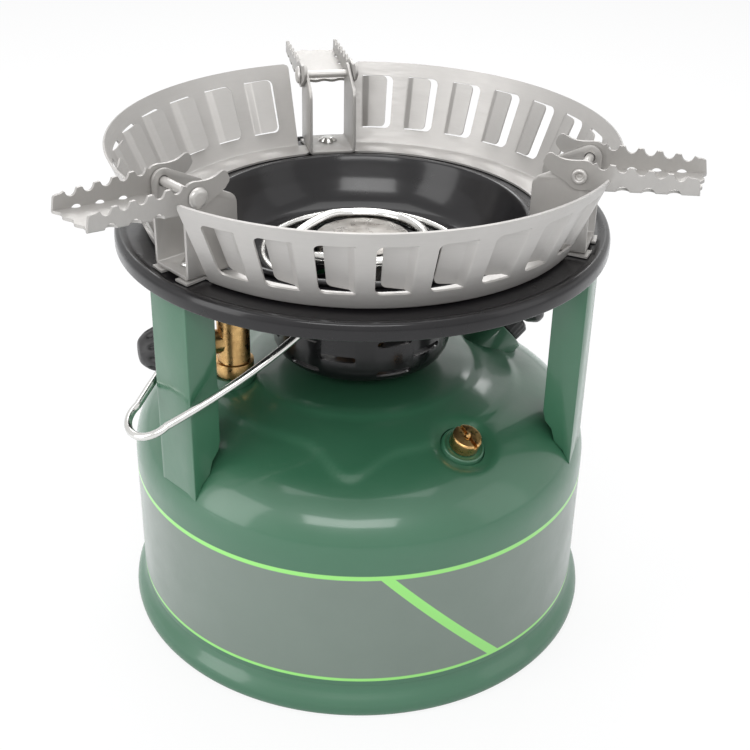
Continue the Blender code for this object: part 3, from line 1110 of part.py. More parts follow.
for index, station_name in enumerate(STATION_NAMES):
    station = add_frame("station_" + station_name, turn=FIRST_STATION_ANGLE + index * STATION_STEP_ANGLE)

    # Leg
    leg_faces = [[(leg_face, -leg_side, leg_low), (leg_face, leg_side, leg_low),
                  (leg_face, leg_side, leg_tab_height), (leg_face, leg_tab_side, leg_tab_height),
                  (leg_face, -leg_tab_side, leg_tab_height), (leg_face, -leg_side, leg_tab_height)],
                 [(leg_face, -leg_tab_side, leg_tab_height), (leg_face, leg_tab_side, leg_tab_height),
                  (leg_face - LEG_TAB_LENGTH, leg_tab_side, leg_tab_height),
                  (leg_face - LEG_TAB_LENGTH, -leg_tab_side, leg_tab_height)]]
    for side in (-leg_side, leg_side):
        leg_faces.append([(leg_face, side, leg_low), (leg_face, side, leg_tab_height),
                          (leg_inner, side, leg_tab_height), (leg_inner, side, leg_corner_height + LEG_CORNER),
                          (leg_inner + 0.12 * LEG_CORNER, side, leg_corner_height + 0.5 * LEG_CORNER),
                          (leg_inner + 0.45 * LEG_CORNER, side, leg_corner_height + 0.1 * LEG_CORNER),
                          (leg_inner + LEG_CORNER, side, leg_low)])
    leg = add_sheet("leg_" + station_name, leg_faces, LEG_SHEET, GREEN_PAINT, station)
    if index == 0:
        dome_cutter = add_cutter("dome_cutter", dome_shape)
    take_away(leg, dome_cutter)

    # Bracket on the tray
    ear = ear_outline()
    bracket_faces = [[(BRACKET_INNER_RADIUS, -EAR_MIDDLE, BRACKET_BASE_HEIGHT),
                      (BRACKET_OUTER_RADIUS, -EAR_MIDDLE, BRACKET_BASE_HEIGHT),
                      (BRACKET_OUTER_RADIUS, EAR_MIDDLE, BRACKET_BASE_HEIGHT),
                      (BRACKET_INNER_RADIUS, EAR_MIDDLE, BRACKET_BASE_HEIGHT)]]
    for side in (-EAR_MIDDLE, EAR_MIDDLE):
        bracket_faces.append([(radius, side, height) for radius, height in ear])
    bracket = add_sheet("bracket_" + station_name, bracket_faces, BRACKET_SHEET, SATIN_STEEL, station, bend=BEND_RADIUS)
    pivot_cutter = add_cutter("pivot_cutter_" + station_name, rod_shape(
        PIN_RADIUS + GAP, -ARM_OUTER_FACE - OVERRUN, ARM_OUTER_FACE + OVERRUN, axis="Y"),
        station, (PIVOT_RADIUS, 0.0, PIVOT_HEIGHT))
    rivet_cutter = add_cutter("rivet_cutter_" + station_name, rod_shape(
        RIVET_RADIUS + GAP, LEG_TOP - LEG_SHEET - OVERRUN, BRACKET_BASE_HEIGHT + OVERRUN),
        station, (RIVET_PLACE_RADIUS, 0.0, 0.0))
    take_away(bracket, pivot_cutter)
    take_away(bracket, rivet_cutter)
    take_away(leg, rivet_cutter)
    take_away(tray, rivet_cutter)

    # Rivet through bracket, tray and leg
    rivet_seat = BRACKET_BASE_HEIGHT + BRACKET_SHEET / 2 + GAP
    rivet_tail = LEG_TOP - LEG_SHEET - GAP
    add_turned("rivet_" + station_name, [
        (0.0, rivet_seat + RIVET_HEAD_HEIGHT),
        (0.55 * RIVET_HEAD_RADIUS, rivet_seat + 0.85 * RIVET_HEAD_HEIGHT),
        (0.9 * RIVET_HEAD_RADIUS, rivet_seat + 0.4 * RIVET_HEAD_HEIGHT),
        (RIVET_HEAD_RADIUS, rivet_seat),
        (RIVET_RADIUS, rivet_seat),
        (RIVET_RADIUS, rivet_tail),
        (RIVET_TAIL_RADIUS, rivet_tail),
        (RIVET_TAIL_RADIUS, rivet_tail - RIVET_TAIL_HEIGHT),
        (0.0, rivet_tail - RIVET_TAIL_HEIGHT),
    ], TINY_STEPS, BRIGHT_STEEL, station, (RIVET_PLACE_RADIUS, 0.0, 0.0))

    # Pot support arm, turning on its pivot
    wall = arm_outline()
    web_in, web_out = wall[0], wall[1]
    arm_faces = []
    for side in (-ARM_WALL_MIDDLE, ARM_WALL_MIDDLE):
        arm_faces.append([(reach, side, height) for reach, height in wall])
    web = [(web_in[0], -ARM_WALL_MIDDLE, web_in[1]), (web_in[0], ARM_WALL_MIDDLE, web_in[1])]
    wave_points = 4 * ARM_WEB_WAVES
    for point in range(wave_points + 1):
        across = ARM_WALL_MIDDLE * (1.0 - 2.0 * point / wave_points)
        wave = 0.5 - 0.5 * math.cos(math.tau * ARM_WEB_WAVES * point / wave_points)
        along = 1.0 - wave * ARM_WEB_WAVE_DEPTH / (web_out[0] - web_in[0])
        web.append((web_in[0] + along * (web_out[0] - web_in[0]), across, web_in[1] + along * (web_out[1] - web_in[1])))
    arm_faces.append(web)
    arm = add_sheet("pot_support_" + station_name, arm_faces, ARM_SHEET, SATIN_STEEL, station,
                    (PIVOT_RADIUS, 0.0, PIVOT_HEIGHT))
    take_away(arm, pivot_cutter)

    # Pivot pin, with a domed head at one end and a rolled eye at the other
    head_seat = ARM_OUTER_FACE + GAP
    pin_frame = add_frame("pin_frame_" + station_name, (PIVOT_RADIUS, 0.0, PIVOT_HEIGHT), parent=station)
    pin_frame.rotation_euler = (-math.pi / 2, 0.0, 0.0)
    eye_end = -head_seat - PIN_EYE_HEIGHT
    add_turned("pivot_pin_" + station_name, [
        (0.0, head_seat + PIN_HEAD_HEIGHT),
        (0.5 * PIN_HEAD_RADIUS, head_seat + 0.9 * PIN_HEAD_HEIGHT),
        (0.87 * PIN_HEAD_RADIUS, head_seat + 0.5 * PIN_HEAD_HEIGHT),
        (PIN_HEAD_RADIUS, head_seat),
        (PIN_RADIUS, head_seat),
        (PIN_RADIUS, -head_seat),
        (PIN_EYE_RADIUS, -head_seat),
        (0.85 * PIN_EYE_RADIUS, eye_end),
        (PIN_EYE_BORE_RADIUS, eye_end),
        (PIN_EYE_BORE_RADIUS, eye_end + PIN_EYE_BORE_DEPTH),
        (0.0, eye_end + PIN_EYE_BORE_DEPTH),
    ], TINY_STEPS, BRIGHT_STEEL, pin_frame)

    # Windscreen segment from this station to the next
    add_sheet("windscreen_" + station_name, screen_faces(), SCREEN_SHEET, SATIN_STEEL, station)

    # Wire bail and its two lugs, round the left leg only
    if station_name == "left":
        bail_frame = add_frame("bail_frame", (BAIL_PIVOT_RADIUS, 0.0, BAIL_PIVOT_HEIGHT), parent=station)
        bail_frame.rotation_euler = (0.0, math.radians(BAIL_REST_ANGLE), 0.0)
        straight = BAIL_LENGTH - BAIL_END_RADIUS
        half = [Vector((0.0, BAIL_HALF_WIDTH - BAIL_HOOK_LENGTH, 0.0))]
        hook_turn_shares = (0.0, 0.25, 0.5, 0.75, 1.0)
        for share in hook_turn_shares:
            angle = share * math.pi / 2
            half.append(Vector((BAIL_HOOK_ROUND * (1.0 - math.cos(angle)),
                                BAIL_HALF_WIDTH - BAIL_HOOK_ROUND * (1.0 - math.sin(angle)), 0.0)))
        for step in range(1, BAIL_SIDE_POINTS + 1):
            reach = BAIL_HOOK_ROUND + (straight - BAIL_HOOK_ROUND) * step / BAIL_SIDE_POINTS
            spread = (BAIL_HALF_WIDTH - BAIL_END_RADIUS) * (reach / straight) ** BAIL_BOW_POWER
            half.append(Vector((reach, BAIL_HALF_WIDTH - spread, 0.0)))
        for step in range(1, BAIL_ARC_POINTS + 1):
            angle = step * math.pi / 2 / BAIL_ARC_POINTS
            half.append(Vector((straight + BAIL_END_RADIUS * math.sin(angle), BAIL_END_RADIUS * math.cos(angle), 0.0)))
        other_half = [Vector((point.x, -point.y, 0.0)) for point in half[:-1]]
        add_tube("wire_bail", half + other_half[::-1], BAIL_WIRE_RADIUS, 2, BRIGHT_STEEL, bail_frame)
        lug_top = BOWL_FLOOR_UNDERSIDE - GAP - LUG_SHEET / 2
        ear_side = BAIL_HALF_WIDTH - BAIL_WIRE_RADIUS - LUG_SIDE_CLEARANCE - LUG_SHEET / 2
        for side, lug_name in ((1.0, "bail_lug_front"), (-1.0, "bail_lug_rear")):
            near = BAIL_PIVOT_RADIUS - LUG_HALF_LENGTH
            far = BAIL_PIVOT_RADIUS + LUG_HALF_LENGTH
            low = BAIL_PIVOT_HEIGHT - LUG_DEPTH
            lug_faces = [
                [(near, side * ear_side, lug_top), (far, side * ear_side, lug_top),
                 (far, side * (ear_side - LUG_FOOT_WIDTH), lug_top), (near, side * (ear_side - LUG_FOOT_WIDTH), lug_top)],
                [(near, side * ear_side, lug_top), (far, side * ear_side, lug_top),
                 (far, side * ear_side, BAIL_PIVOT_HEIGHT), (0.5 * (far + BAIL_PIVOT_RADIUS), side * ear_side, low),
                 (0.5 * (near + BAIL_PIVOT_RADIUS), side * ear_side, low), (near, side * ear_side, BAIL_PIVOT_HEIGHT)],
            ]
            lug = add_sheet(lug_name, lug_faces, LUG_SHEET, BLACK_ENAMEL, station)
            take_away(lug, add_cutter(lug_name + "_cutter", rod_shape(
                BAIL_WIRE_RADIUS + GAP, -BAIL_HALF_WIDTH, BAIL_HALF_WIDTH, axis="Y"),
                station, (BAIL_PIVOT_RADIUS, 0.0, BAIL_PIVOT_HEIGHT)))
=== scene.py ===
# Looks of a petrol camping stove: painted tank, enamelled tray and bowl, steel windscreen, brass valves
import math

import bpy
from mathutils import Matrix, Vector


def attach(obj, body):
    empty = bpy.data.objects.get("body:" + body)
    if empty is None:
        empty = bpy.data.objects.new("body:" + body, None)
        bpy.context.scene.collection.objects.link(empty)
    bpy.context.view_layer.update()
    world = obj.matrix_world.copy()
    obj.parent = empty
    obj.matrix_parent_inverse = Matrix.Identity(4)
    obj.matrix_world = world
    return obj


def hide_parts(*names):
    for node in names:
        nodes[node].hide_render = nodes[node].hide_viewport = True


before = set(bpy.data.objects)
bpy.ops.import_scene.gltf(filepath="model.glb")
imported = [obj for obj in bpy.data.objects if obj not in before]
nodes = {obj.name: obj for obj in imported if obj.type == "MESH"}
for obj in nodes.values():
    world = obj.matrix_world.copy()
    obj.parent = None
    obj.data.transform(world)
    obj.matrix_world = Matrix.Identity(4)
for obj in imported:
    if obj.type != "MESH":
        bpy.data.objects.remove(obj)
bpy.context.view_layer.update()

# Sizes shared by the pieces, in metres and degrees
MERGE = 0.000002
STATIONS = {"left": -138.4, "right": -18.4, "back": 101.6}
VALVE_PLACE = (0.0470, -162.0, 0.0)
PUMP_PLACE = (0.0548, 26.0, 50.0)
FILLER_PLACE = (0.0520, 74.0, 20.0)
RELIEF_PLACE = (0.0600, -54.0, 24.0)
PIVOT_RADIUS = 0.0745
PIVOT_HEIGHT = 0.1773
TANK_RADIUS = 0.0830
TANK_WALL = 0.0012
TANK_WALL_TOP = 0.0620
DOME_RISE = 0.0345
DOME_POWER = 2.3
SEAT_RADIUS = 0.0405
SEAT_FOOT_RADIUS = 0.0435
SEAT_RAISE = 0.0015


# Heights and frames on the dome
def dome_height(radius, wall=0.0):
    share = min(radius / (TANK_RADIUS - wall), 1.0) ** DOME_POWER
    return TANK_WALL_TOP + (DOME_RISE - wall) * (1.0 - share) ** (1.0 / DOME_POWER)


def around(radius, angle, height=0.0):
    turn = math.radians(angle)
    return Vector((radius * math.cos(turn), radius * math.sin(turn), height))


def dome_frame(place):
    radius, angle, tilt = place
    spot = Matrix.Translation(around(radius, angle, dome_height(radius)))
    turn = Matrix.Rotation(math.radians(angle), 4, "Z")
    return spot @ turn @ Matrix.Rotation(math.radians(tilt), 4, "Y")


def station_frame(station, place=(0.0, 0.0, 0.0)):
    return Matrix.Rotation(math.radians(STATIONS[station]), 4, "Z") @ Matrix.Translation(Vector(place))


# Small helpers for selecting and finishing
def rest_all():
    if bpy.context.object is not None and bpy.context.object.mode != "OBJECT":
        bpy.ops.object.mode_set(mode="OBJECT")
    bpy.ops.object.select_all(action="DESELECT")


def take_up(piece):
    rest_all()
    piece.select_set(True)
    bpy.context.view_layer.objects.active = piece


def settle(piece, name, place=None, smooth=30.0):
    take_up(piece)
    piece.name = name
    piece.data.name = name
    if place is not None:
        piece.matrix_world = place @ piece.matrix_world
    bpy.ops.object.transform_apply(location=True, rotation=True, scale=True)
    bpy.ops.object.shade_smooth_by_angle(angle=math.radians(smooth))
    return piece


def tidy_mesh(piece):
    take_up(piece)
    bpy.ops.object.mode_set(mode="EDIT")
    bpy.ops.mesh.select_all(action="SELECT")
    bpy.ops.mesh.remove_doubles(threshold=MERGE)
    bpy.ops.mesh.normals_make_consistent(inside=False)
    bpy.ops.object.mode_set(mode="OBJECT")


def apply_all(piece):
    take_up(piece)
    for modifier in list(piece.modifiers):
        bpy.ops.object.modifier_apply(modifier=modifier.name)


def dress(piece, material, body, slot, *stands_for):
    piece.data.materials.clear()
    piece.data.materials.append(material)
    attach(piece, body)
    if stands_for:
        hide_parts(*stands_for)
    return piece


# A turned piece starts as a circle, and each ring is extruded from the last and scaled to its radius
def turned(name, outline, vertices=64, place=None, smooth=30.0):
    rest_all()
    points = list(outline)
    starts_closed = points[0][0] == 0.0
    ends_closed = points[-1][0] == 0.0
    rings = points[1 if starts_closed else 0:-1 if ends_closed else None]
    if not starts_closed:
        rings.append(rings[0])
    fill = "TRIFAN" if starts_closed else "NOTHING"
    bpy.ops.mesh.primitive_circle_add(vertices=vertices, radius=rings[0][0], fill_type=fill,
                                      location=(0.0, 0.0, rings[0][1]))
    piece = bpy.context.object
    bpy.ops.object.mode_set(mode="EDIT")
    bpy.context.tool_settings.mesh_select_mode = (False, True, False)
    bpy.ops.mesh.select_all(action="DESELECT")
    bpy.ops.mesh.select_non_manifold()
    for (radius, height), (next_radius, next_height) in zip(rings[:-1], rings[1:]):
        rise = (0.0, 0.0, next_height - height)
        bpy.ops.mesh.extrude_edges_move(TRANSFORM_OT_translate={"value": rise})
        growth = next_radius / radius
        bpy.ops.transform.resize(value=(growth, growth, 1.0))
    if ends_closed:
        rise = (0.0, 0.0, points[-1][1] - rings[-1][1])
        bpy.ops.mesh.extrude_edges_move(TRANSFORM_OT_translate={"value": rise})
        bpy.ops.mesh.merge(type="CENTER")
    bpy.context.tool_settings.mesh_select_mode = (True, False, False)
    tidy_mesh(piece)
    return settle(piece, name, place, smooth)


# Rounding adds short arcs at an outline's corners
def rounded(outline, radius, steps=3, keep=()):
    count = len(outline)
    closed = outline[0][0] > 0.0
    result = []
    for index, point in enumerate(outline):
        inner = closed or 0 < index < count - 1
        if not inner or index in keep or point[0] == 0.0:
            result.append(point)
            continue
        corner = Vector(point)
        before = Vector(outline[index - 1]) - corner
        after = Vector(outline[(index + 1) % count]) - corner
        if before.length < MERGE or after.length < MERGE:
            result.append(point)
            continue
        reach = min(radius, 0.45 * before.length, 0.45 * after.length)
        start = corner + before.normalized() * reach
        end = corner + after.normalized() * reach
        for step in range(steps + 1):
            share = step / steps
            spot = start.lerp(corner, share).lerp(corner.lerp(end, share), share)
            result.append((spot.x, spot.y))
    return result


# Ribs are waves pressed into the outside of a turned piece
def flute(piece, count, depth, inner, place):
    back = place.inverted()
    for vertex in piece.data.vertices:
        spot = back @ vertex.co
        radius = math.hypot(spot.x, spot.y)
        if radius > inner:
            wave = (0.5 - 0.5 * math.cos(count * math.atan2(spot.y, spot.x))) ** 2
            share = 1.0 - wave * depth / radius * min((radius - inner) / (0.1 * inner), 1.0)
            vertex.co = place @ Vector((spot.x * share, spot.y * share, spot.z))


# A refined piece is a solid whose loose triangles are merged and whose edges get a small round
def refined(node, width, segments=2, smooth=35.0, rounding=None):
    rest_all()
    piece = bpy.data.objects.new(node + "_finished", nodes[node].data.copy())
    bpy.context.scene.collection.objects.link(piece)
    take_up(piece)
    if piece.data.has_custom_normals:
        bpy.ops.mesh.customdata_custom_splitnormals_clear()
    bpy.ops.object.mode_set(mode="EDIT")
    bpy.ops.mesh.select_all(action="SELECT")
    bpy.ops.mesh.remove_doubles(threshold=MERGE)
    bpy.ops.mesh.dissolve_limited(angle_limit=math.radians(0.6))
    bpy.ops.object.mode_set(mode="OBJECT")
    if rounding:
        round_edges(piece, *rounding)
    edge = piece.modifiers.new("edge", "BEVEL")
    edge.width = width
    edge.segments = segments
    edge.limit_method = "ANGLE"
    edge.angle_limit = math.radians(35.0)
    apply_all(piece)
    return settle(piece, node + "_finished", None, smooth)


# The corner of a flat piece is rounded where chosen() says of an edge's two ends
def round_edges(piece, width, steps, chosen):
    take_up(piece)
    bpy.ops.object.mode_set(mode="EDIT")
    bpy.context.tool_settings.mesh_select_mode = (False, True, False)
    bpy.ops.mesh.select_all(action="DESELECT")
    bpy.ops.object.mode_set(mode="OBJECT")
    for edge in piece.data.edges:
        first, second = (piece.data.vertices[index].co for index in edge.vertices)
        edge.select = chosen(first, second)
    bpy.ops.object.mode_set(mode="EDIT")
    bpy.ops.mesh.bevel(offset=width, segments=steps, affect="EDGES")
    bpy.context.tool_settings.mesh_select_mode = (True, False, False)
    bpy.ops.object.mode_set(mode="OBJECT")


# Cutters are joined into one, and taken out of a piece
def joined(pieces):
    rest_all()
    for piece in pieces:
        piece.select_set(True)
    bpy.context.view_layer.objects.active = pieces[0]
    bpy.ops.object.join()
    return pieces[0]


def cut_with(piece, cutter, folded=False):
    cut = piece.modifiers.new("cut", "BOOLEAN")
    cut.operation = "DIFFERENCE"
    cut.solver = "EXACT"
    cut.use_self = folded
    cut.object = cutter
    apply_all(piece)
    bpy.data.objects.remove(cutter)


# A wire is a round curve through its points, made a mesh
def wire(name, points, radius, place=None, resolution=6):
    rest_all()
    bpy.ops.curve.primitive_nurbs_path_add()
    piece = bpy.context.object
    curve = piece.data
    curve.splines.clear()
    spline = curve.splines.new("POLY")
    spline.points.add(len(points) - 1)
    for spot, point in zip(spline.points, points):
        spot.co = (point[0], point[1], point[2], 1.0)
    curve.bevel_depth = radius
    curve.bevel_resolution = resolution
    curve.use_fill_caps = True
    piece.location = (0.0, 0.0, 0.0)
    bpy.ops.object.convert(target="MESH")
    tidy_mesh(bpy.context.object)
    return settle(bpy.context.object, name, place, 50.0)


def smooth_route(stops, count):
    ends = [2 * stops[0] - stops[1]] + stops + [2 * stops[-1] - stops[-2]]
    spans = len(stops) - 1
    route = []
    for step in range(count + 1):
        reach = min(step * spans / count, spans - 1e-9)
        index = int(reach)
        part = reach - index
        before, start, end, after = ends[index:index + 4]
        route.append(0.5 * (2 * start + (end - before) * part
                            + (2 * before - 5 * start + 4 * end - after) * part ** 2
                            + (3 * start - before - 3 * end + after) * part ** 3))
    return route


def ramp(value, low, high):
    share = min(max((value - low) / (high - low), 0.0), 1.0)
    return share * share * (3.0 - 2.0 * share)


# Materials
class Finish:
    def __init__(self, name, colour, roughness, metallic=0.0, coat=0.0, coat_roughness=0.05):
        self.material = bpy.data.materials.new(name)
        self.material.use_nodes = True
        self.tree = self.material.node_tree
        self.shader = self.tree.nodes["Principled BSDF"]
        self.shader.inputs["Base Color"].default_value = (*colour, 1.0)
        self.shader.inputs["Roughness"].default_value = roughness
        self.shader.inputs["Metallic"].default_value = metallic
        self.shader.inputs["Coat Weight"].default_value = coat
        self.shader.inputs["Coat Roughness"].default_value = coat_roughness
        self.place = self.tree.nodes.new("ShaderNodeTexCoord").outputs["Object"]
        self.last_bump = None

    def link(self, source, target):
        self.tree.links.new(source, target)

    def stretched(self, scale):
        mapping = self.tree.nodes.new("ShaderNodeMapping")
        mapping.inputs["Scale"].default_value = scale
        self.link(self.place, mapping.inputs["Vector"])
        return mapping.outputs["Vector"]

    def noise(self, scale, detail=2.0, roughness=0.5, stretch=None):
        texture = self.tree.nodes.new("ShaderNodeTexNoise")
        texture.inputs["Scale"].default_value = scale
        texture.inputs["Detail"].default_value = detail
        texture.inputs["Roughness"].default_value = roughness
        self.link(self.stretched(stretch) if stretch else self.place, texture.inputs["Vector"])
        return texture.outputs["Fac"]

    def between(self, factor, low, high, from_low=0.3, from_high=0.7):
        spread = self.tree.nodes.new("ShaderNodeMapRange")
        spread.inputs["From Min"].default_value = from_low
        spread.inputs["From Max"].default_value = from_high
        spread.inputs["To Min"].default_value = low
        spread.inputs["To Max"].default_value = high
        self.link(factor, spread.inputs["Value"])
        return spread.outputs["Result"]

    def math(self, operation, first, second=0.0):
        node = self.tree.nodes.new("ShaderNodeMath")
        node.operation = operation
        for socket, value in zip(node.inputs, (first, second)):
            if isinstance(value, float):
                socket.default_value = value
            else:
                self.link(value, socket)
        return node.outputs["Value"]

    def mixed(self, factor, first, second):
        mix = self.tree.nodes.new("ShaderNodeMix")
        mix.data_type = "RGBA"
        self.link(factor, mix.inputs[0])
        for socket, colour in ((mix.inputs[6], first), (mix.inputs[7], second)):
            if isinstance(colour, tuple):
                socket.default_value = (*colour, 1.0)
            else:
                self.link(colour, socket)
        return mix.outputs[2]

    def colour(self, output):
        self.link(output, self.shader.inputs["Base Color"])

    def roughness(self, output):
        self.link(output, self.shader.inputs["Roughness"])

    def mottle(self, first, second, share, *texture):
        self.colour(self.mixed(self.between(self.noise(*texture), 0.0, share), first, second))

    def wear(self, low, high, *texture):
        self.roughness(self.between(self.noise(*texture), low, high))

    def bump(self, height, distance, strength=1.0):
        bump = self.tree.nodes.new("ShaderNodeBump")
        bump.inputs["Distance"].default_value = distance
        bump.inputs["Strength"].default_value = strength
        self.link(height, bump.inputs["Height"])
        if self.last_bump is not None:
            self.link(self.last_bump, bump.inputs["Normal"])
        self.last_bump = bump.outputs["Normal"]
        self.link(self.last_bump, self.shader.inputs["Normal"])


GREEN = (0.031, 0.124, 0.065)
GREEN_WORN = (0.042, 0.152, 0.084)
LABEL_GREY = (0.138, 0.180, 0.152)
LABEL_GREY_PALE = (0.165, 0.212, 0.180)
LABEL_LIME = (0.270, 0.700, 0.160)


def green_finish(name):
    finish = Finish(name, GREEN, 0.40, coat=0.6, coat_roughness=0.11)
    finish.mottle(GREEN, GREEN_WORN, 0.45, 28.0, 4.0, 0.6)
    finish.wear(0.34, 0.46, 70.0, 3.0)
    finish.bump(finish.noise(420.0, 2.0), 0.00003)
    finish.bump(finish.noise(1900.0, 1.0), 0.000008)
    return finish


green_paint = green_finish("green_paint").material

# The tank's band is grey between two lime lines, with one slanted lime line
tank_paint_finish = green_finish("tank_paint")
base_colour = tank_paint_finish.shader.inputs["Base Color"].links[0].from_socket
split = tank_paint_finish.tree.nodes.new("ShaderNodeSeparateXYZ")
tank_paint_finish.link(tank_paint_finish.place, split.inputs["Vector"])
height = split.outputs["Z"]
combine = tank_paint_finish.math
turn = combine("ARCTAN2", split.outputs["Y"], split.outputs["X"])


def band(finish, value, low, high, blur=0.00012):
    rise = finish.between(value, 0.0, 1.0, low - blur, low + blur)
    fall = finish.between(value, 1.0, 0.0, high - blur, high + blur)
    return finish.math("MULTIPLY", rise, fall)


LABEL_FOOT = 0.0132
LABEL_HEAD = 0.0578
LINE_WIDTH = 0.0017
SLANT_TOP = (math.radians(-83.6), 0.0570)
SLANT_FOOT = (math.radians(-54.7), 0.0140)
SLANT_HALF_WIDTH = 0.0024
label_area = band(tank_paint_finish, height, LABEL_FOOT, LABEL_HEAD)
top_line = band(tank_paint_finish, height, LABEL_HEAD - LINE_WIDTH, LABEL_HEAD)
foot_line = band(tank_paint_finish, height, LABEL_FOOT, LABEL_FOOT + 0.7 * LINE_WIDTH)
slope = (SLANT_FOOT[1] - SLANT_TOP[1]) / (SLANT_FOOT[0] - SLANT_TOP[0])
slant_rise = combine("MULTIPLY", combine("SUBTRACT", turn, SLANT_TOP[0]), slope)
slant_gap = combine("SUBTRACT", combine("SUBTRACT", height, SLANT_TOP[1]), slant_rise)
slant_line = band(tank_paint_finish, slant_gap, -SLANT_HALF_WIDTH, SLANT_HALF_WIDTH)
slant_line = combine("MULTIPLY", slant_line, label_area)
line_mask = combine("MAXIMUM", combine("MAXIMUM", top_line, foot_line), slant_line)
print_tone = tank_paint_finish.noise(55.0, 4.0, 0.6)
grey = tank_paint_finish.mixed(tank_paint_finish.between(print_tone, 0.0, 0.35), LABEL_GREY, LABEL_GREY_PALE)
printed = tank_paint_finish.mixed(label_area, base_colour, grey)
tank_paint_finish.colour(tank_paint_finish.mixed(line_mask, printed, LABEL_LIME))
tank_paint = tank_paint_finish.material

# Black enamel
enamel_finish = Finish("black_enamel", (0.010, 0.0095, 0.011), 0.34, coat=0.5, coat_roughness=0.13)
enamel_finish.shader.inputs["Specular IOR Level"].default_value = 0.15
enamel_finish.mottle((0.006, 0.0055, 0.0065), (0.012, 0.011, 0.0125), 0.6, 45.0, 4.0, 0.6)
enamel_finish.wear(0.26, 0.36, 90.0, 3.0)
enamel_finish.bump(enamel_finish.noise(300.0, 2.0), 0.00004)
black_enamel = enamel_finish.material


# Stamped stainless sheet, with faint rolling lines and blotches
def sheet_steel(name, tint, low_rough, high_rough, stretch):
    finish = Finish(name, tint, low_rough, metallic=0.5)
    finish.mottle(tint, tuple(0.86 * value for value in tint), 0.5, 60.0, 4.0, 0.6)
    grain = finish.noise(140.0, 3.0, 0.7, stretch)
    finish.roughness(finish.between(grain, low_rough, high_rough))
    finish.bump(grain, 0.000012)
    finish.bump(finish.noise(260.0, 2.0), 0.00003)
    return finish.material


screen_steel = sheet_steel("screen_steel", (0.50, 0.486, 0.470), 0.40, 0.55, (1.0, 1.0, 14.0))
stamped_steel = sheet_steel("stamped_steel", (0.44, 0.427, 0.411), 0.38, 0.54, (6.0, 6.0, 1.0))
pin_steel = sheet_steel("pin_steel", (0.58, 0.565, 0.545), 0.26, 0.38, (1.0, 1.0, 1.0))

# Heat-tinted steel of the burner
burner_finish = Finish("burner_steel", (0.52, 0.50, 0.47), 0.30, metallic=1.0)
burner_finish.mottle((0.36, 0.345, 0.325), (0.24, 0.215, 0.19), 0.8, 110.0, 4.0)
burner_finish.wear(0.22, 0.42, 240.0, 3.0)
burner_finish.bump(burner_finish.noise(700.0, 2.0), 0.00002)
burner_steel = burner_finish.material

# Polished plated wire, tube and rivets
plated_finish = Finish("plated_steel", (0.78, 0.78, 0.77), 0.12, metallic=1.0)
plated_finish.mottle((0.70, 0.695, 0.675), (0.56, 0.55, 0.53), 0.5, 160.0, 3.0)
plated_finish.wear(0.12, 0.26, 420.0, 3.0)
plated_finish.bump(plated_finish.noise(900.0, 2.0), 0.00001)
plated_steel = plated_finish.material

# Turned brass
brass_finish = Finish("turned_brass", (0.62, 0.40, 0.17), 0.28, metallic=1.0)
brass_finish.mottle((0.66, 0.43, 0.18), (0.40, 0.23, 0.09), 0.9, 230.0, 4.0, 0.65)
brass_finish.wear(0.20, 0.40, 500.0, 3.0)
brass_finish.bump(brass_finish.noise(1500.0, 2.0), 0.00002)
turned_brass = brass_finish.material

# Moulded heat-proof plastic
plastic_finish = Finish("moulded_plastic", (0.018, 0.017, 0.018), 0.42)
plastic_finish.mottle((0.015, 0.0145, 0.015), (0.026, 0.025, 0.027), 0.6, 80.0, 3.0)
plastic_finish.wear(0.36, 0.52, 300.0, 2.0)
plastic_finish.bump(plastic_finish.noise(1800.0, 2.0), 0.00003)
moulded_plastic = plastic_finish.material

# Rubber and oiled leather
rubber_finish = Finish("rubber", (0.014, 0.014, 0.014), 0.75)
rubber_finish.bump(rubber_finish.noise(1200.0, 3.0), 0.00004)
rubber_finish.wear(0.65, 0.85, 400.0, 2.0)
soft_rubber = rubber_finish.material
leather_finish = Finish("oiled_leather", (0.15, 0.065, 0.028), 0.60)
leather_finish.mottle((0.17, 0.075, 0.032), (0.10, 0.042, 0.018), 1.0, 350.0, 4.0)
leather_finish.bump(leather_finish.noise(1600.0, 4.0), 0.00008)
oiled_leather = leather_finish.material


# Tank shell: a wall and dome with the raised burner seat, then pressed marks and four bores in the dome
def shell_outline(wall, rise_steps):
    outline = [(0.0, dome_height(SEAT_FOOT_RADIUS) + SEAT_RAISE - wall)]
    seat_top = outline[0][1]
    outline += [(0.35 * SEAT_RADIUS, seat_top), (0.9 * SEAT_RADIUS, seat_top)]
    outline.append((SEAT_RADIUS, seat_top - 0.1 * SEAT_RAISE))
    outline.append(((SEAT_RADIUS + SEAT_FOOT_RADIUS) / 2, seat_top - 0.55 * SEAT_RAISE))
    start = SEAT_FOOT_RADIUS
    first = math.acos((start / TANK_RADIUS) ** (DOME_POWER / 2))
    for step in range(rise_steps + 1):
        angle = first * (1.0 - step / rise_steps)
        radius = (TANK_RADIUS - wall) * math.cos(angle) ** (2 / DOME_POWER)
        outline.append((radius, TANK_WALL_TOP + (DOME_RISE - wall) * math.sin(angle) ** (2 / DOME_POWER)))
    return outline


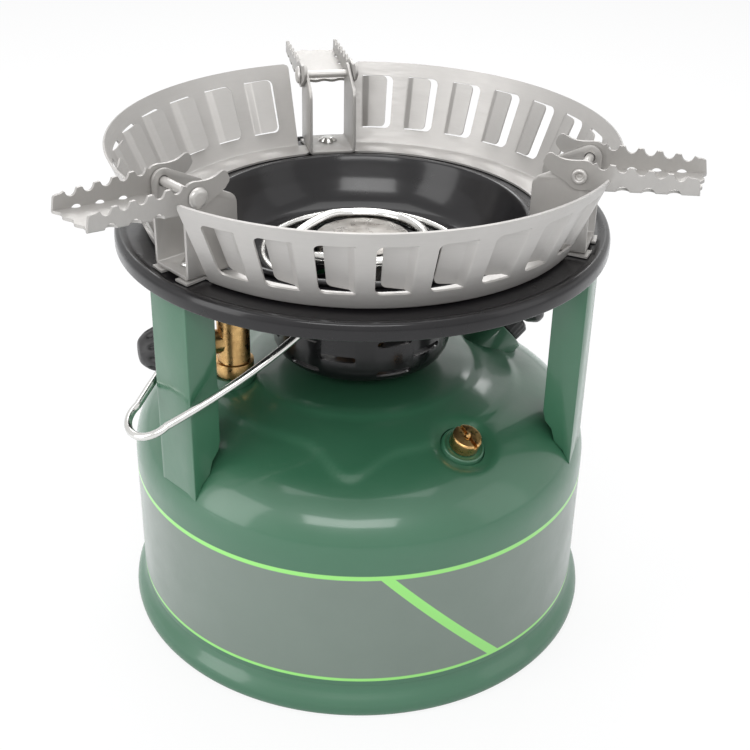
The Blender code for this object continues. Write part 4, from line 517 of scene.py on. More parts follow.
tank_outline = shell_outline(0.0, 46)
for wall_height in (0.050, 0.035, 0.022, 0.0113):
    tank_outline.append((TANK_RADIUS, wall_height))
tank_inner = [(TANK_RADIUS - TANK_WALL, 0.0113)] + shell_outline(TANK_WALL, 14)[::-1]
tank = turned("tank_painted", tank_outline + tank_inner, 240, smooth=40.0)
relief_spot = dome_frame(RELIEF_PLACE).translation
PLATEAU_RADIUS = 0.0560
LOBE_REACH = 0.0100
LOBE_ANGLE = -93.0
LOBE_HALF_ANGLE = 9.0
PLATEAU_STEP = 0.0009
DIMPLE_DEPTH = 0.0019
for vertex in tank.data.vertices:
    spot = vertex.co
    radius = math.hypot(spot.x, spot.y)
    if spot.z < TANK_WALL_TOP or radius < SEAT_FOOT_RADIUS - 0.002:
        continue
    angle = math.degrees(math.atan2(spot.y, spot.x))
    off_lobe = (angle - LOBE_ANGLE) / LOBE_HALF_ANGLE
    ripple = 0.0012 * math.cos(math.radians(5 * angle + 40.0))
    edge = PLATEAU_RADIUS + ripple + LOBE_REACH * math.exp(-off_lobe ** 2)
    drop = PLATEAU_STEP * ramp(radius, edge - 0.0016, edge + 0.0016)
    drop *= 1.0 - ramp(radius, edge + 0.003, 0.082)
    away = (spot - relief_spot).length
    drop += DIMPLE_DEPTH * (1.0 - ramp(away, 0.0072, 0.0125))
    spot.z -= drop
bores = {VALVE_PLACE: 0.0079, PUMP_PLACE: 0.0103, FILLER_PLACE: 0.0111, RELIEF_PLACE: 0.0079}
for place, radius in bores.items():
    outline = [(0.0, 0.012), (radius, 0.012), (radius, -0.012), (0.0, -0.012)]
    cut_with(tank, turned("bore", outline, 72, dome_frame(place)))
settle(tank, "tank_painted", None, 40.0)
dress(tank, tank_paint, "stove", "green_paint", "tank_shell")

base_outline = [
    (0.0, 0.0),
    (0.0690, 0.0),
    (0.0700, 0.0001),
    (0.0730, 0.0034),
    (0.0740, 0.0036),
    (0.0785, 0.0036),
    (0.0795, 0.0033),
    (0.0812, 0.0002),
    (0.0820, 0.0),
    (0.0850, 0.0),
    (0.0858, 0.0003),
    (0.0863, 0.0011),
    (0.0865, 0.0024),
    (0.0862, 0.0042),
    (0.0855, 0.0057),
    (0.0846, 0.0070),
    (0.0838, 0.0080),
    (0.0831, 0.0092),
    (0.0828, 0.0104),
    (0.0825, 0.0110),
    (0.0813, 0.0110),
    (0.0813, 0.0049),
    (0.0732, 0.0049),
    (0.0694, 0.0012),
    (0.0, 0.0012),
]
base = turned("tank_base_painted", base_outline, 160, smooth=40.0)
dress(base, green_paint, "stove", "green_paint", "tank_base")

# Tray, bowl and burner cup in black enamel
tray_outline = rounded([
    (0.0570, 0.1492),
    (0.0804, 0.1492),
    (0.0816, 0.1499),
    (0.0828, 0.1503),
    (0.0840, 0.14975),
    (0.0846, 0.1480),
    (0.0846, 0.1444),
    (0.0834, 0.1444),
    (0.0834, 0.14752),
    (0.0828, 0.1486),
    (0.0804, 0.1480),
    (0.0570, 0.1480),
], 0.0006)
tray = turned("tray_enamelled", tray_outline, 160, smooth=40.0)
dress(tray, black_enamel, "stove", "black_enamel", "tray")

bowl_outline = rounded([
    (0.0588, 0.1495),
    (0.0588, 0.15025),
    (0.05814, 0.1510),
    (0.0565, 0.1510),
    (0.0551, 0.1474),
    (0.0532, 0.1428),
    (0.0512, 0.1390),
    (0.0494, 0.1363),
    (0.0474, 0.1343),
    (0.0450, 0.1332),
    (0.0424, 0.1329),
    (0.0310, 0.1329),
    (0.0310, 0.1318),
    (0.0428, 0.1318),
    (0.0456, 0.1321),
    (0.0482, 0.1333),
    (0.0503, 0.1355),
    (0.0521, 0.1383),
    (0.0542, 0.1421),
    (0.0560, 0.1474),
    (0.0565, 0.1495),
], 0.0012, 3)
bowl = turned("bowl_enamelled", bowl_outline, 160, smooth=50.0)
dress(bowl, black_enamel, "stove", "black_enamel", "burner_bowl")

cup_outline = [
    (0.0, 0.1008),
    (0.0270, 0.1008),
    (0.0284, 0.1012),
    (0.0299, 0.1025),
    (0.0306, 0.1043),
    (0.0310, 0.1063),
    (0.0310, 0.1315),
    (0.0360, 0.1315),
    (0.0360, 0.1305),
    (0.0320, 0.1305),
    (0.0320, 0.1063),
    (0.0317, 0.1041),
    (0.0308, 0.1018),
    (0.0293, 0.1002),
    (0.0275, 0.0998),
    (0.0, 0.0998),
]
cup = turned("cup_enamelled", cup_outline, 128, smooth=40.0)
SLOT_BLOCK = (0.012, 0.0125, 0.0022)
cutters = []
for row in range(3):
    slot_height = 0.1152 - 0.0057 * row
    for place in range(6):
        turn_angle = -68.5 + 24.0 * (row % 2) + 60.0 * place
        spot = around(0.0310, turn_angle, slot_height)
        turn = (0.0, 0.0, math.radians(turn_angle))
        bpy.ops.mesh.primitive_cube_add(size=1.0, location=spot, rotation=turn, scale=SLOT_BLOCK)
        cutter = bpy.context.object
        ends = cutter.modifiers.new("ends", "BEVEL")
        ends.width = 0.0009
        ends.segments = 3
        bpy.ops.object.transform_apply(location=True, rotation=True, scale=True)
        apply_all(cutter)
        cutters.append(cutter)
cut_with(cup, joined(cutters))
outlet_height = dome_height(VALVE_PLACE[0]) + 0.0243
hole_spot = Matrix.Translation((0.0315, 0.0, outlet_height)) @ Matrix.Rotation(math.pi / 2, 4, "Y")
hole_place = Matrix.Rotation(math.radians(VALVE_PLACE[1]), 4, "Z") @ hole_spot
hole_outline = [(0.0, 0.006), (0.0028, 0.006), (0.0028, -0.006), (0.0, -0.006)]
cut_with(cup, turned("tube_hole", hole_outline, 32, hole_place))
settle(cup, "cup_enamelled", None, 30.0)
dress(cup, black_enamel, "stove", "black_enamel", "burner_cup")

# Burner: flame ring, bell, spreader, jet and its block
ring_foot = 0.1332
ring_outline = rounded([
    (0.0333, ring_foot),
    (0.0333, ring_foot + 0.0035),
    (0.0341, ring_foot + 0.0045),
    (0.0355, ring_foot + 0.0045),
    (0.0363, ring_foot + 0.0035),
    (0.0363, ring_foot),
    (0.0353, ring_foot),
    (0.0353, ring_foot + 0.0035),
    (0.0343, ring_foot + 0.0035),
    (0.0343, ring_foot),
], 0.0005, 2)
flame_ring = turned("flame_ring_polished", ring_outline, 128, smooth=40.0)
dress(flame_ring, plated_steel, "stove", "bright_steel", "flame_ring")
bell = refined("burner_bell", 0.0002)
dress(bell, burner_steel, "stove", "satin_steel", "burner_bell")
spreader = refined("flame_spreader", 0.0002)
dress(spreader, burner_steel, "stove", "satin_steel", "flame_spreader")

# Generator tube, once round above the bell
loop_height = 0.1329 + 0.0081
inlet_height = 0.1011 + 0.0035
TUBE = 0.0022
RISER = 0.0262
LOOP_END = -195.0
stops = [
    around(0.0389, VALVE_PLACE[1], outlet_height),
    around(0.03545, VALVE_PLACE[1], outlet_height),
    around(0.0298, VALVE_PLACE[1], outlet_height + 0.15 * TUBE),
    around(RISER, VALVE_PLACE[1], outlet_height + 2 * TUBE),
    around(RISER - 0.2 * TUBE, VALVE_PLACE[1], (outlet_height + loop_height) / 2),
    around(RISER - 0.2 * TUBE, VALVE_PLACE[1], loop_height - 2.4 * TUBE),
]
for share in (0.0, 0.11, 0.22, 0.33, 0.44, 0.56, 0.67, 0.78, 0.89, 1.0):
    stops.append(around(0.0220, VALVE_PLACE[1] + 38.0 + share * 254.0, loop_height))
stops += [
    around(RISER, LOOP_END, loop_height - 2.4 * TUBE),
    around(RISER, LOOP_END, (loop_height + inlet_height) / 2),
    around(RISER, LOOP_END, inlet_height + 3 * TUBE),
    around(RISER - 2.4 * TUBE, LOOP_END, inlet_height + 0.3 * TUBE),
    around((RISER + 0.0085) / 2, LOOP_END, inlet_height),
    around(0.0088, LOOP_END, inlet_height),
]
generator = wire("generator_polished", smooth_route(stops, 220), TUBE)
dress(generator, plated_steel, "stove", "bright_steel", "generator_tube")

# Wire bail
SWING = math.radians(27.1)
bail_height = 0.1318 - 0.0003 - 0.0005 - 0.0035
bail_place = station_frame("left", (0.0420, 0.0, bail_height)) @ Matrix.Rotation(SWING, 4, "Y")
half = [Vector((0.0, 0.0152, 0.0))]
for step in range(9):
    angle = step / 8 * math.pi / 2
    half.append(Vector((0.0024 * (1.0 - math.cos(angle)), 0.0204 - 0.0024 * (1.0 - math.sin(angle)), 0.0)))
straight = 0.0617 - 0.0085
for step in range(1, 41):
    reach = 0.0024 + (straight - 0.0024) * step / 40
    half.append(Vector((reach, 0.0204 - 0.0119 * (reach / straight) ** 1.72, 0.0)))
for step in range(1, 17):
    angle = step * math.pi / 32
    half.append(Vector((straight + 0.0085 * math.sin(angle), 0.0085 * math.cos(angle), 0.0)))
other_half = [Vector((point.x, -point.y, 0.0)) for point in half[:-1]]
bail = wire("bail_polished", half + other_half[::-1], 0.0013, bail_place)
dress(bail, plated_steel, "bail", "bright_steel", "wire_bail")

# Control valve
valve_place = dome_frame(VALVE_PLACE)
bung = turned("valve_bung_painted", rounded([
    (0.0078, 0.0030), (0.0078, -0.0042), (0.0045, -0.0042), (0.0045, 0.0030)], 0.0006), 64, valve_place)
dress(bung, green_paint, "stove", "green_paint", "valve_bung")
valve_body = refined("valve_body", 0.00022)
dress(valve_body, turned_brass, "stove", "brass", "valve_body")
spindle_place = valve_place @ Matrix.Translation((0.0, 0.0, 0.0158)) @ Matrix.Rotation(math.pi / 2, 4, "Y")
knob = turned("control_knob_moulded", rounded([
    (0.0, 0.0335),
    (0.0040, 0.0331),
    (0.0066, 0.0303),
    (0.0086, 0.0256),
    (0.0100, 0.0190),
    (0.0095, 0.0170),
    (0.0024, 0.0170),
    (0.0024, 0.0257),
    (0.0, 0.0257),
], 0.0012), 160, spindle_place, 40.0)
flute(knob, 10, 0.0010, 0.0062, spindle_place)
dress(knob, moulded_plastic, "flame_control", "black_plastic", "control_knob")
nut = refined("packing_nut", 0.0003)
dress(nut, turned_brass, "stove", "brass", "packing_nut")

# Pump
pump_place = dome_frame(PUMP_PLACE)
pump_bung = turned("pump_bung_painted", rounded([
    (0.0102, 0.0062), (0.0102, -0.0095), (0.0069, -0.0095), (0.0069, 0.0062)], 0.0008), 72, pump_place)
dress(pump_bung, green_paint, "stove", "green_paint", "pump_bung")
pump_cap = turned("pump_cap_moulded", rounded([
    (0.0078, 0.0065), (0.0078, 0.0120), (0.0062, 0.0133), (0.0022, 0.0133), (0.0022, 0.0065)], 0.0005), 96,
    pump_place)
flute(pump_cap, 24, 0.0003, 0.0070, pump_place)
dress(pump_cap, moulded_plastic, "stove", "black_plastic", "pump_cap")
knob_low = 0.0141
pump_knob = turned("pump_knob_moulded", rounded([
    (0.0, knob_low + 0.0088),
    (0.00644, knob_low + 0.0088),
    (0.0092, knob_low + 0.0063),
    (0.0092, knob_low + 0.0032),
    (0.0055, knob_low),
    (0.0022, knob_low),
    (0.0022, knob_low + 0.0050),
    (0.0, knob_low + 0.0050),
], 0.0012), 96, pump_place, 40.0)
dress(pump_knob, moulded_plastic, "pump_plunger", "black_plastic", "pump_knob")

# Filler
filler_place = dome_frame(FILLER_PLACE)
filler_neck = turned("filler_neck_painted", rounded([
    (0.0110, 0.0060), (0.0110, -0.0070), (0.0086, -0.0070), (0.0086, 0.0060)], 0.0006), 72, filler_place)
dress(filler_neck, green_paint, "stove", "green_paint", "filler_neck")
filler_cap = turned("filler_cap_moulded", rounded([
    (0.0, 0.0129),
    (0.01104, 0.0129),
    (0.0138, 0.01146),
    (0.0138, 0.0020),
    (0.0113, 0.0020),
    (0.0113, 0.0081),
    (0.0, 0.0081),
], 0.0009), 180, filler_place, 40.0)
flute(filler_cap, 30, 0.0006, 0.0130, filler_place)
dress(filler_cap, moulded_plastic, "filler_cap", "black_plastic", "filler_cap")

# Relief valve in its pressed seat
relief_place = dome_frame(RELIEF_PLACE)
relief_bung = turned("relief_seat_painted", rounded([
    (0.0072, -0.0012),
    (0.0078, -0.0030),
    (0.0078, -0.0050),
    (0.0043, -0.0050),
    (0.0043, -0.0014),
    (0.0062, -0.0014),
    (0.0066, -0.0010),
], 0.0004), 72, relief_place)
dress(relief_bung, green_paint, "stove", "green_paint", "relief_bung")
relief_body = refined("relief_body", 0.0002)
dress(relief_body, turned_brass, "stove", "brass", "relief_body")

# Windscreen segment: sheet whose louvres are cut on three sides, then bent up at its foot and pressed in
FLANGE_HEIGHT = 0.14985
SCREEN_FOOT = 0.0733
SCREEN_MIDDLE = 0.0794
SCREEN_SHEET = 0.0007
SCREEN_LEAN = math.atan2(0.0290, 0.0122)
SCREEN_WIDE = 0.03146
SCREEN_START = 9.0
SCREEN_END = 111.4
SCREEN_CORNER = 0.0018
FLANGE_WIDE = 0.0103
FOOT_BEND = 0.0011
TAB_TIP = 2.7
TAB_ROOT = 6.8
TAB_REACH = 0.0067
LOUVRES = 8
LOUVRE_FIRST = 14.0
LOUVRE_PITCH = 12.4
LOUVRE_WIDE = 8.2
LOUVRE_LOW = 0.0061
LOUVRE_HIGH = 0.0263
LOUVRE_CORNER = 0.0023
LOUVRE_SLOT = 1.47
LOUVRE_KERF = 0.0004
LOUVRE_STEP = 0.0017
LOUVRE_DEEP = 0.0031
HINGE_SHARE = 0.82


def along(angle):
    return math.radians(angle) * SCREEN_MIDDLE


def box(name, low, high):
    rest_all()
    middle = (Vector(low) + Vector(high)) / 2
    bpy.ops.mesh.primitive_cube_add(size=1.0, location=middle, scale=Vector(high) - Vector(low))
    piece = bpy.context.object
    piece.name = name
    bpy.ops.object.transform_apply(location=True, rotation=True, scale=True)
    return piece


# Corners along one axis of a box are rounded where its low X side is
def round_low_side(piece, width, steps=5):
    low = min(vertex.co.x for vertex in piece.data.vertices)

    def upright_there(first, second):
        upright = abs(first.x - second.x) < MERGE and abs(first.y - second.y) < MERGE
        return upright and abs(first.x - low) < MERGE

    round_edges(piece, width, steps, upright_there)


def copy_of(piece, shift):
    copy = piece.copy()
    copy.data = piece.data.copy()
    copy.data.transform(Matrix.Translation(shift))
    bpy.context.scene.collection.objects.link(copy)
    return copy


def screen_columns():
    shares = (-0.35, 0.6, 1.7, 2.7, 3.7, 4.7, 5.7, 6.4, 6.72, 6.95, 7.9, 8.17, 8.6, 9.8, 10.9)
    columns = [TAB_TIP, 3.7, 4.7, 5.7, 6.6, 7.7, 8.9, 10.0, 11.0, 12.2, 13.0]
    for louvre in range(LOUVRES):
        columns += [LOUVRE_FIRST + louvre * LOUVRE_PITCH + share for share in shares]
    columns = [column for column in columns if column < 111.0]
    return columns + [111.3, 112.4, 113.6, 114.7, 116.0, 120.0 - TAB_TIP]


def screen_rows():
    tangent = FOOT_BEND * math.tan(SCREEN_LEAN / 2)
    rows = [-FLANGE_WIDE, -0.0078, -0.0052, -0.0028]
    rows += [tangent * share for share in (-1.0, -0.6, -0.2, 0.2, 0.6, 1.0)]
    rows += [0.0020, 0.0034, 0.0048, 0.0057]
    rows += [0.0069 + 0.00117 * step for step in range(17)]
    return rows + [0.0272, 0.0283, 0.0295, 0.0303, SCREEN_WIDE - 0.0005, SCREEN_WIDE]


# How far a tongue stands in, from its free side at 0 to its hinge at 1
def tongue_depth(angle, way):
    place = (angle - LOUVRE_FIRST) / LOUVRE_PITCH
    louvre = math.floor(place)
    across = (place - louvre) * LOUVRE_PITCH / LOUVRE_WIDE
    if louvre < 0 or louvre >= LOUVRES or not 0.1 < across < 1.0:
        return 0.0
    if not LOUVRE_LOW + LOUVRE_KERF / 2 < way < LOUVRE_HIGH - LOUVRE_KERF / 2:
        return 0.0
    depth = LOUVRE_STEP * min((1.0 - across) / (1.0 - HINGE_SHARE), 1.0)
    if across < HINGE_SHARE:
        depth += (LOUVRE_DEEP - LOUVRE_STEP) * (HINGE_SHARE - across) / HINGE_SHARE
        half = math.radians(LOUVRE_WIDE) * HINGE_SHARE / 2
        off = math.radians(LOUVRE_WIDE) * (across - HINGE_SHARE / 2)
        depth += SCREEN_MIDDLE * (1.0 - math.cos(half) / math.cos(off))
    return depth


def bent(point):
    angle = math.degrees(point.x / SCREEN_MIDDLE)
    way = point.y
    tangent = FOOT_BEND * math.tan(SCREEN_LEAN / 2)
    on_wall = SCREEN_START - 0.01 < angle < SCREEN_END + 0.01
    if not on_wall and way < 0.0:
        past = max(SCREEN_START - angle, angle - SCREEN_END)
        way *= 1.0 - 0.2 * ramp(past, 0.3, 2.2)
    if way < -tangent or not on_wall:
        turn = 0.0
        radius, height = SCREEN_FOOT + way, FLANGE_HEIGHT
    elif way < tangent:
        turn = SCREEN_LEAN * (way + tangent) / (2 * tangent)
        radius = SCREEN_FOOT - tangent + FOOT_BEND * math.sin(turn)
        height = FLANGE_HEIGHT + FOOT_BEND * (1.0 - math.cos(turn))
    else:
        turn = SCREEN_LEAN
        radius = SCREEN_FOOT + way * math.cos(turn)
        height = FLANGE_HEIGHT + way * math.sin(turn)
    inward = point.z + tongue_depth(angle, way)
    radius -= math.sin(turn) * inward
    height += math.cos(turn) * inward
    over = way - (SCREEN_WIDE - SCREEN_CORNER)
    if over > 0.0:
        inset = math.degrees((SCREEN_CORNER - math.sqrt(SCREEN_CORNER ** 2 - over ** 2)) / SCREEN_MIDDLE)
        angle += inset * max(0.0, 1.0 - (angle - SCREEN_START) / 2.5)
        angle -= inset * max(0.0, 1.0 - (SCREEN_END - angle) / 2.5)
    return around(radius, angle, height)


columns = screen_columns()
rows = screen_rows()
rest_all()
bpy.ops.mesh.primitive_grid_add(x_subdivisions=len(columns) - 1, y_subdivisions=len(rows) - 1, size=1.0)
screen = bpy.context.object
for vertex in screen.data.vertices:
    column = round((vertex.co.x + 0.5) * (len(columns) - 1))
    row = round((vertex.co.y + 0.5) * (len(rows) - 1))
    vertex.co = (along(columns[column]), rows[row], 0.0)
wall = screen.modifiers.new("wall", "SOLIDIFY")
wall.thickness = SCREEN_SHEET
wall.offset = 0.0
apply_all(screen)

slot = box("slot", (0.0, LOUVRE_LOW, -0.002), (along(LOUVRE_WIDE), LOUVRE_HIGH, 0.002))
round_low_side(slot, LOUVRE_CORNER)
tongue = box("tongue", (along(LOUVRE_SLOT), LOUVRE_LOW + LOUVRE_KERF, -0.003),
             (along(LOUVRE_WIDE + 1.0), LOUVRE_HIGH - LOUVRE_KERF, 0.003))
round_low_side(tongue, LOUVRE_CORNER - LOUVRE_KERF)
cut_with(slot, tongue)
slots = [copy_of(slot, (along(LOUVRE_FIRST + louvre * LOUVRE_PITCH), 0.0, 0.0)) for louvre in range(LOUVRES)]
bpy.data.objects.remove(slot)
cut_with(screen, joined(slots))
for low, high in ((0.0, SCREEN_START), (SCREEN_END, 120.0)):
    cut_with(screen, box("over_tab", (along(low), TAB_REACH, -0.002), (along(high), 0.05, 0.002)))
for low, high in ((TAB_ROOT, SCREEN_START), (SCREEN_END, 120.0 - TAB_ROOT)):
    cut_with(screen, box("beside_tab", (along(low), -0.0009, -0.002), (along(high), 0.05, 0.002)))
for vertex in screen.data.vertices:
    vertex.co = bent(vertex.co)
tidy_mesh(screen)
for station in STATIONS:
    segment = copy_of(screen, (0.0, 0.0, 0.0))
    settle(segment, "windscreen_" + station + "_pressed", station_frame(station), 40.0)
    dress(segment, screen_steel, "stove", "satin_steel", "windscreen_" + station)
bpy.data.objects.remove(screen)

# Pot support: a toothed wall folded under into a web with wavy ends, notched along its folds, and mirrored
ARM_MIDDLE = 0.0097
ARM_SHEET = 0.0010
ARM_LENGTH = 0.0372
WEB_START = (0.0043, -0.0040)
WEB_END = (ARM_LENGTH, -0.0012)
VALLEYS = 5
VALLEY_FIRST = 0.0069
VALLEY_PITCH = 0.00595
VALLEY_DEPTH = 0.0020
FOLD_NOTCHES = (0.0138, 0.0217, 0.0296)
NOTCH_RADIUS = 0.0022


def web_height(reach):
    share = (reach - WEB_START[0]) / (WEB_END[0] - WEB_START[0])
    return WEB_START[1] + share * (WEB_END[1] - WEB_START[1])


def arm_outline():
    outline = [WEB_START, WEB_END, (0.0365, 0.0030), (0.0362, 0.0034), (0.0352, 0.0037), (0.0341, 0.0036)]
    shares = (0.86, 0.83, 0.80, 0.75, 0.68, 0.58, 0.50, 0.42, 0.32, 0.25, 0.20, 0.17, 0.14)
    depths = (0.00, 0.12, 0.35, 0.62, 0.84, 0.97, 1.00, 0.97, 0.84, 0.62, 0.35, 0.12, 0.00)
    for valley in reversed(range(VALLEYS)):
        for share, depth in zip(shares, depths):
            reach = VALLEY_FIRST + (valley + share - 0.5) * VALLEY_PITCH
            if reach > 0.0335 or reach < 0.0042:
                continue
            crest = 0.00485 - 0.00085 * reach / ARM_LENGTH
            outline.append((reach, crest - VALLEY_DEPTH * depth))
    outline += [(0.0037, 0.0041), (0.0031, 0.0046), (0.0021, 0.0050), (0.0008, 0.0051)]
    outline += [(-0.0010, 0.00485), (-0.0030, 0.00465), (-0.0050, 0.0047), (-0.0068, 0.0051)]
    outline += [(-0.0083, 0.0058), (-0.0094, 0.0063), (-0.0104, 0.0061), (-0.0111, 0.0054)]
    outline += [(-0.0118, 0.0034), (-0.0116, 0.0025), (-0.0101, 0.0007)]
    for angle in (215.0, 226.0, 237.0, 248.0, 259.0, 270.0, 280.0):
        turn = math.radians(angle)
        outline.append((0.0046 * math.cos(turn), 0.0046 * math.sin(turn)))
    return outline


outline = arm_outline()
rest_all()
bpy.ops.mesh.primitive_circle_add(vertices=len(outline), radius=ARM_LENGTH, fill_type="NGON")
arm = bpy.context.object
for vertex, (reach, height_there) in zip(arm.data.vertices, outline):
    vertex.co = (reach, ARM_MIDDLE, height_there)
bpy.ops.object.mode_set(mode="EDIT")
bpy.context.tool_settings.mesh_select_mode = (False, True, False)
bpy.ops.mesh.select_all(action="DESELECT")
bpy.ops.object.mode_set(mode="OBJECT")
for edge in arm.data.edges:
    edge.select = set(edge.vertices) == {0, 1}
bpy.ops.object.mode_set(mode="EDIT")
WEB_STEPS = 12
for step in range(WEB_STEPS):
    bpy.ops.mesh.extrude_edges_move(TRANSFORM_OT_translate={"value": (0.0, -ARM_MIDDLE / WEB_STEPS, 0.0)})
bpy.context.tool_settings.mesh_select_mode = (True, False, False)
bpy.ops.object.mode_set(mode="OBJECT")
for vertex in arm.data.vertices[len(outline):]:
    wave = 0.0012 * (0.5 - 0.5 * math.cos(math.tau * 1.5 * (1.0 - vertex.co.y / ARM_MIDDLE)))
    at_end = vertex.co.x > ARM_LENGTH / 2
    vertex.co.x += -wave if at_end else wave
    vertex.co.z = web_height(vertex.co.x)
mirror = arm.modifiers.new("mirror", "MIRROR")
mirror.use_axis = (False, True, False)
mirror.merge_threshold = 0.00001
fold = arm.modifiers.new("fold", "BEVEL")
fold.width = 0.0009
fold.segments = 4
fold.limit_method = "ANGLE"
fold.angle_limit = math.radians(60.0)
sheet = arm.modifiers.new("sheet", "SOLIDIFY")
sheet.thickness = ARM_SHEET
sheet.offset = 0.0
sheet.use_even_offset = True
apply_all(arm)
tidy_mesh(arm)
notches = []
for side in (-1.0, 1.0):
    for reach in FOLD_NOTCHES:
        rest_all()
        bpy.ops.mesh.primitive_uv_sphere_add(segments=24, ring_count=12, radius=NOTCH_RADIUS,
                                             location=(reach, side * 0.0101, web_height(reach) - 0.0007))
        notches.append(bpy.context.object)
cut_with(arm, joined(notches), folded=True)
pin_hole = turned("pin_hole", [(0.0, 0.012), (0.0018, 0.012), (0.0018, -0.012), (0.0, -0.012)], 32,
                  Matrix.Rotation(math.pi / 2, 4, "X"))
cut_with(arm, pin_hole, folded=True)
tidy_mesh(arm)
# The cuts leave a few doubled faces, which have to go before the mesh is copied
arm.data.validate()
for station in STATIONS:
    support = copy_of(arm, (0.0, 0.0, 0.0))
    settle(support, "pot_support_" + station + "_toothed",
           station_frame(station, (PIVOT_RADIUS, 0.0, PIVOT_HEIGHT)), 35.0)
    dress(support, stamped_steel, "pot_support_" + station, "satin_steel", "pot_support_" + station)
bpy.data.objects.remove(arm)

# Legs, brackets, pins and rivets at each station
BRACKET_INNER = 0.0594
EAR_SHOULDER = 0.1742
RIVET_RADIUS = 0.0712


def shoulder_edge(station):
    back = station_frame(station).inverted()

    def chosen(first, second):
        return all(abs(spot.x - BRACKET_INNER) < 0.0003 and abs(spot.z - EAR_SHOULDER) < 0.0003
                   for spot in (back @ first, back @ second))

    return chosen


for station in STATIONS:
    leg = refined("leg_" + station, 0.0005, 3)
    dress(leg, green_paint, "stove", "green_paint", "leg_" + station)
    bracket = refined("bracket_" + station, 0.0002, rounding=(0.0022, 4, shoulder_edge(station)))
    dress(bracket, stamped_steel, "stove", "satin_steel", "bracket_" + station)
    pivot_place = station_frame(station, (PIVOT_RADIUS, 0.0, PIVOT_HEIGHT))
    pin_place = pivot_place @ Matrix.Rotation(-math.pi / 2, 4, "X")
    seat = 0.0105
    pin = turned("pivot_pin_" + station + "_domed", rounded([
        (0.0, seat + 0.0014),
        (0.0021, seat + 0.00128),
        (0.0031, seat + 0.0008),
        (0.0034, seat),
        (0.0015, seat),
        (0.0015, -seat),
        (0.00245, -seat),
        (0.00235, -seat - 0.0010),
        (0.0013, -seat - 0.0010),
        (0.0012, -seat + 0.0003),
        (0.0004, -seat + 0.0003),
        (0.0, -seat),
    ], 0.0004, keep=(3, 4, 5, 6, 10)), 40, pin_place, 40.0)
    dress(pin, pin_steel, "stove", "bright_steel", "pivot_pin_" + station)
    rivet_place = station_frame(station, (RIVET_RADIUS, 0.0, 0.0))
    rivet_top = 0.1520
    rivet_tail = 0.1465
    rivet = turned("rivet_" + station + "_domed", rounded([
        (0.0, rivet_top + 0.0016),
        (0.0020, rivet_top + 0.00136),
        (0.0032, rivet_top + 0.00064),
        (0.0036, rivet_top),
        (0.0020, rivet_top),
        (0.0020, rivet_tail - 0.0003),
        (0.0030, rivet_tail - 0.0003),
        (0.0030, rivet_tail - 0.0016),
        (0.0, rivet_tail - 0.0016),
    ], 0.0004, keep=(3, 4, 5, 6)), 48, rivet_place, 40.0)
    flute(rivet, 4, 0.0011, 0.0021, rivet_place)
    dress(rivet, plated_steel, "stove", "bright_steel", "rivet_" + station)

# Solids whose own shape is right get their finish directly
plain = {
    "bail_lug_front": black_enamel,
    "bail_lug_rear": black_enamel,
    "jet": turned_brass,
    "jet_block": turned_brass,
    "valve_spindle": turned_brass,
    "pickup_tube": turned_brass,
    "pump_barrel": turned_brass,
    "pump_check_valve": turned_brass,
    "pump_piston": oiled_leather,
    "pump_rod": plated_steel,
    "filler_gasket": soft_rubber,
    "relief_pin": turned_brass,
    "relief_spring": plated_steel,
}
for node, material in plain.items():
    mesh = nodes[node].data
    if not mesh.materials:
        mesh.materials.append(material)
    for index in range(len(mesh.materials)):
        mesh.materials[index] = material

# Pale floor that shows as plain white to the camera, apart from the stove's shadow
rest_all()
bpy.ops.mesh.primitive_plane_add(size=6.0, location=(0.0, 0.0, -0.0002))
floor = bpy.context.object
floor.name = "floor"
floor_material = bpy.data.materials.new("floor_pale")
floor_material.use_nodes = True
floor_shader = floor_material.node_tree.nodes["Principled BSDF"]
floor_shader.inputs["Base Color"].default_value = (0.92, 0.925, 0.935, 1.0)
floor_shader.inputs["Roughness"].default_value = 0.75
floor_tree = floor_material.node_tree
white = floor_tree.nodes.new("ShaderNodeEmission")
white.inputs["Strength"].default_value = 1.0
looked_at = floor_tree.nodes.new("ShaderNodeLightPath")
white_share = floor_tree.nodes.new("ShaderNodeMath")
white_share.operation = "MULTIPLY"
white_share.inputs[1].default_value = 0.84
floor_tree.links.new(looked_at.outputs["Is Camera Ray"], white_share.inputs[0])
floor_mix = floor_tree.nodes.new("ShaderNodeMixShader")
floor_tree.links.new(white_share.outputs["Value"], floor_mix.inputs["Fac"])
floor_tree.links.new(floor_shader.outputs["BSDF"], floor_mix.inputs[1])
floor_tree.links.new(white.outputs["Emission"], floor_mix.inputs[2])
floor_tree.links.new(floor_mix.outputs["Shader"], floor_tree.nodes["Material Output"].inputs["Surface"])
floor.data.materials.append(floor_material)

# World light, white where the camera or gloss looks at it
world = bpy.data.worlds.new("soft_white")
bpy.context.scene.world = world
world.use_nodes = True
tree = world.node_tree
background = tree.nodes["Background"]
background.inputs["Color"].default_value = (1.0, 1.0, 1.0, 1.0)
background.inputs["Strength"].default_value = 0.50
seen = tree.nodes.new("ShaderNodeBackground")
seen.inputs["Color"].default_value = (1.0, 1.0, 1.0, 1.0)
seen.inputs["Strength"].default_value = 1.0
path = tree.nodes.new("ShaderNodeLightPath")
either = tree.nodes.new("ShaderNodeMath")
either.operation = "MAXIMUM"
tree.links.new(path.outputs["Is Camera Ray"], either.inputs[0])
tree.links.new(path.outputs["Is Glossy Ray"], either.inputs[1])
mix = tree.nodes.new("ShaderNodeMixShader")
tree.links.new(either.outputs["Value"], mix.inputs["Fac"])
tree.links.new(background.outputs["Background"], mix.inputs[1])
tree.links.new(seen.outputs["Background"], mix.inputs[2])
tree.links.new(mix.outputs["Shader"], tree.nodes["World Output"].inputs["Surface"])


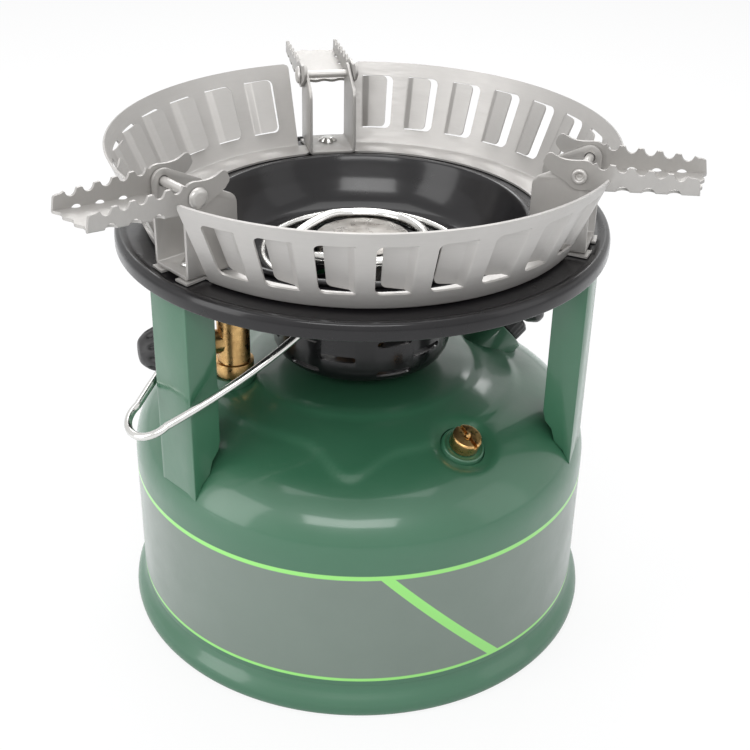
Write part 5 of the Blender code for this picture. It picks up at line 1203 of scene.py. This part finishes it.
# Soft lamps above, at both sides, in front and behind
def soft_lamp(name, place, target, size, watts):
    lamp = bpy.data.lights.new(name, "AREA")
    lamp.shape = "RECTANGLE"
    lamp.size, lamp.size_y = size
    lamp.energy = watts
    holder = bpy.data.objects.new(name, lamp)
    bpy.context.scene.collection.objects.link(holder)
    holder.location = place
    holder.rotation_euler = (Vector(target) - Vector(place)).to_track_quat("-Z", "Y").to_euler()


MIDDLE = (0.0, 0.0, 0.09)
soft_lamp("lamp_top", (0.0, 0.05, 0.95), MIDDLE, (0.8, 0.6), 3.2)
soft_lamp("lamp_left", (-0.85, -0.45, 0.42), MIDDLE, (0.45, 0.8), 3.3)
soft_lamp("lamp_right", (0.85, -0.30, 0.45), MIDDLE, (0.45, 0.8), 0.7)
soft_lamp("lamp_front", (-0.06, -0.85, 0.80), MIDDLE, (0.75, 0.28), 4.3)
soft_lamp("lamp_back", (0.0, 0.75, 0.70), MIDDLE, (0.8, 0.22), 3.2)

# Camera, as fitted to the photograph, with its focal length in pixels
CAMERA_PLACE = (0.0, -0.4173, 0.320)
SENSOR_WIDE = 36.0
PICTURE_WIDE = 750.0
FOCAL = 1298.0
TILT = math.radians(29.25)
PAN = math.radians(0.73)
ROLL = math.radians(1.26)
forward = Vector((math.sin(PAN) * math.cos(TILT), math.cos(PAN) * math.cos(TILT), -math.sin(TILT)))
level = Vector((math.cos(PAN), -math.sin(PAN), 0.0))
upward = level.cross(forward)
side = math.cos(ROLL) * level + math.sin(ROLL) * upward
top = math.cos(ROLL) * upward - math.sin(ROLL) * level
camera_data = bpy.data.cameras.new("camera")
camera_data.sensor_width = SENSOR_WIDE
camera_data.lens = SENSOR_WIDE * FOCAL / PICTURE_WIDE
camera = bpy.data.objects.new("camera", camera_data)
bpy.context.scene.collection.objects.link(camera)
camera_turn = Matrix((side, top, -forward)).transposed().to_4x4()
camera.matrix_world = Matrix.Translation(CAMERA_PLACE) @ camera_turn
bpy.context.scene.camera = camera
bpy.context.scene.view_settings.view_transform = "Standard"

# The view layer is updated once at the end
bpy.context.view_layer.update()
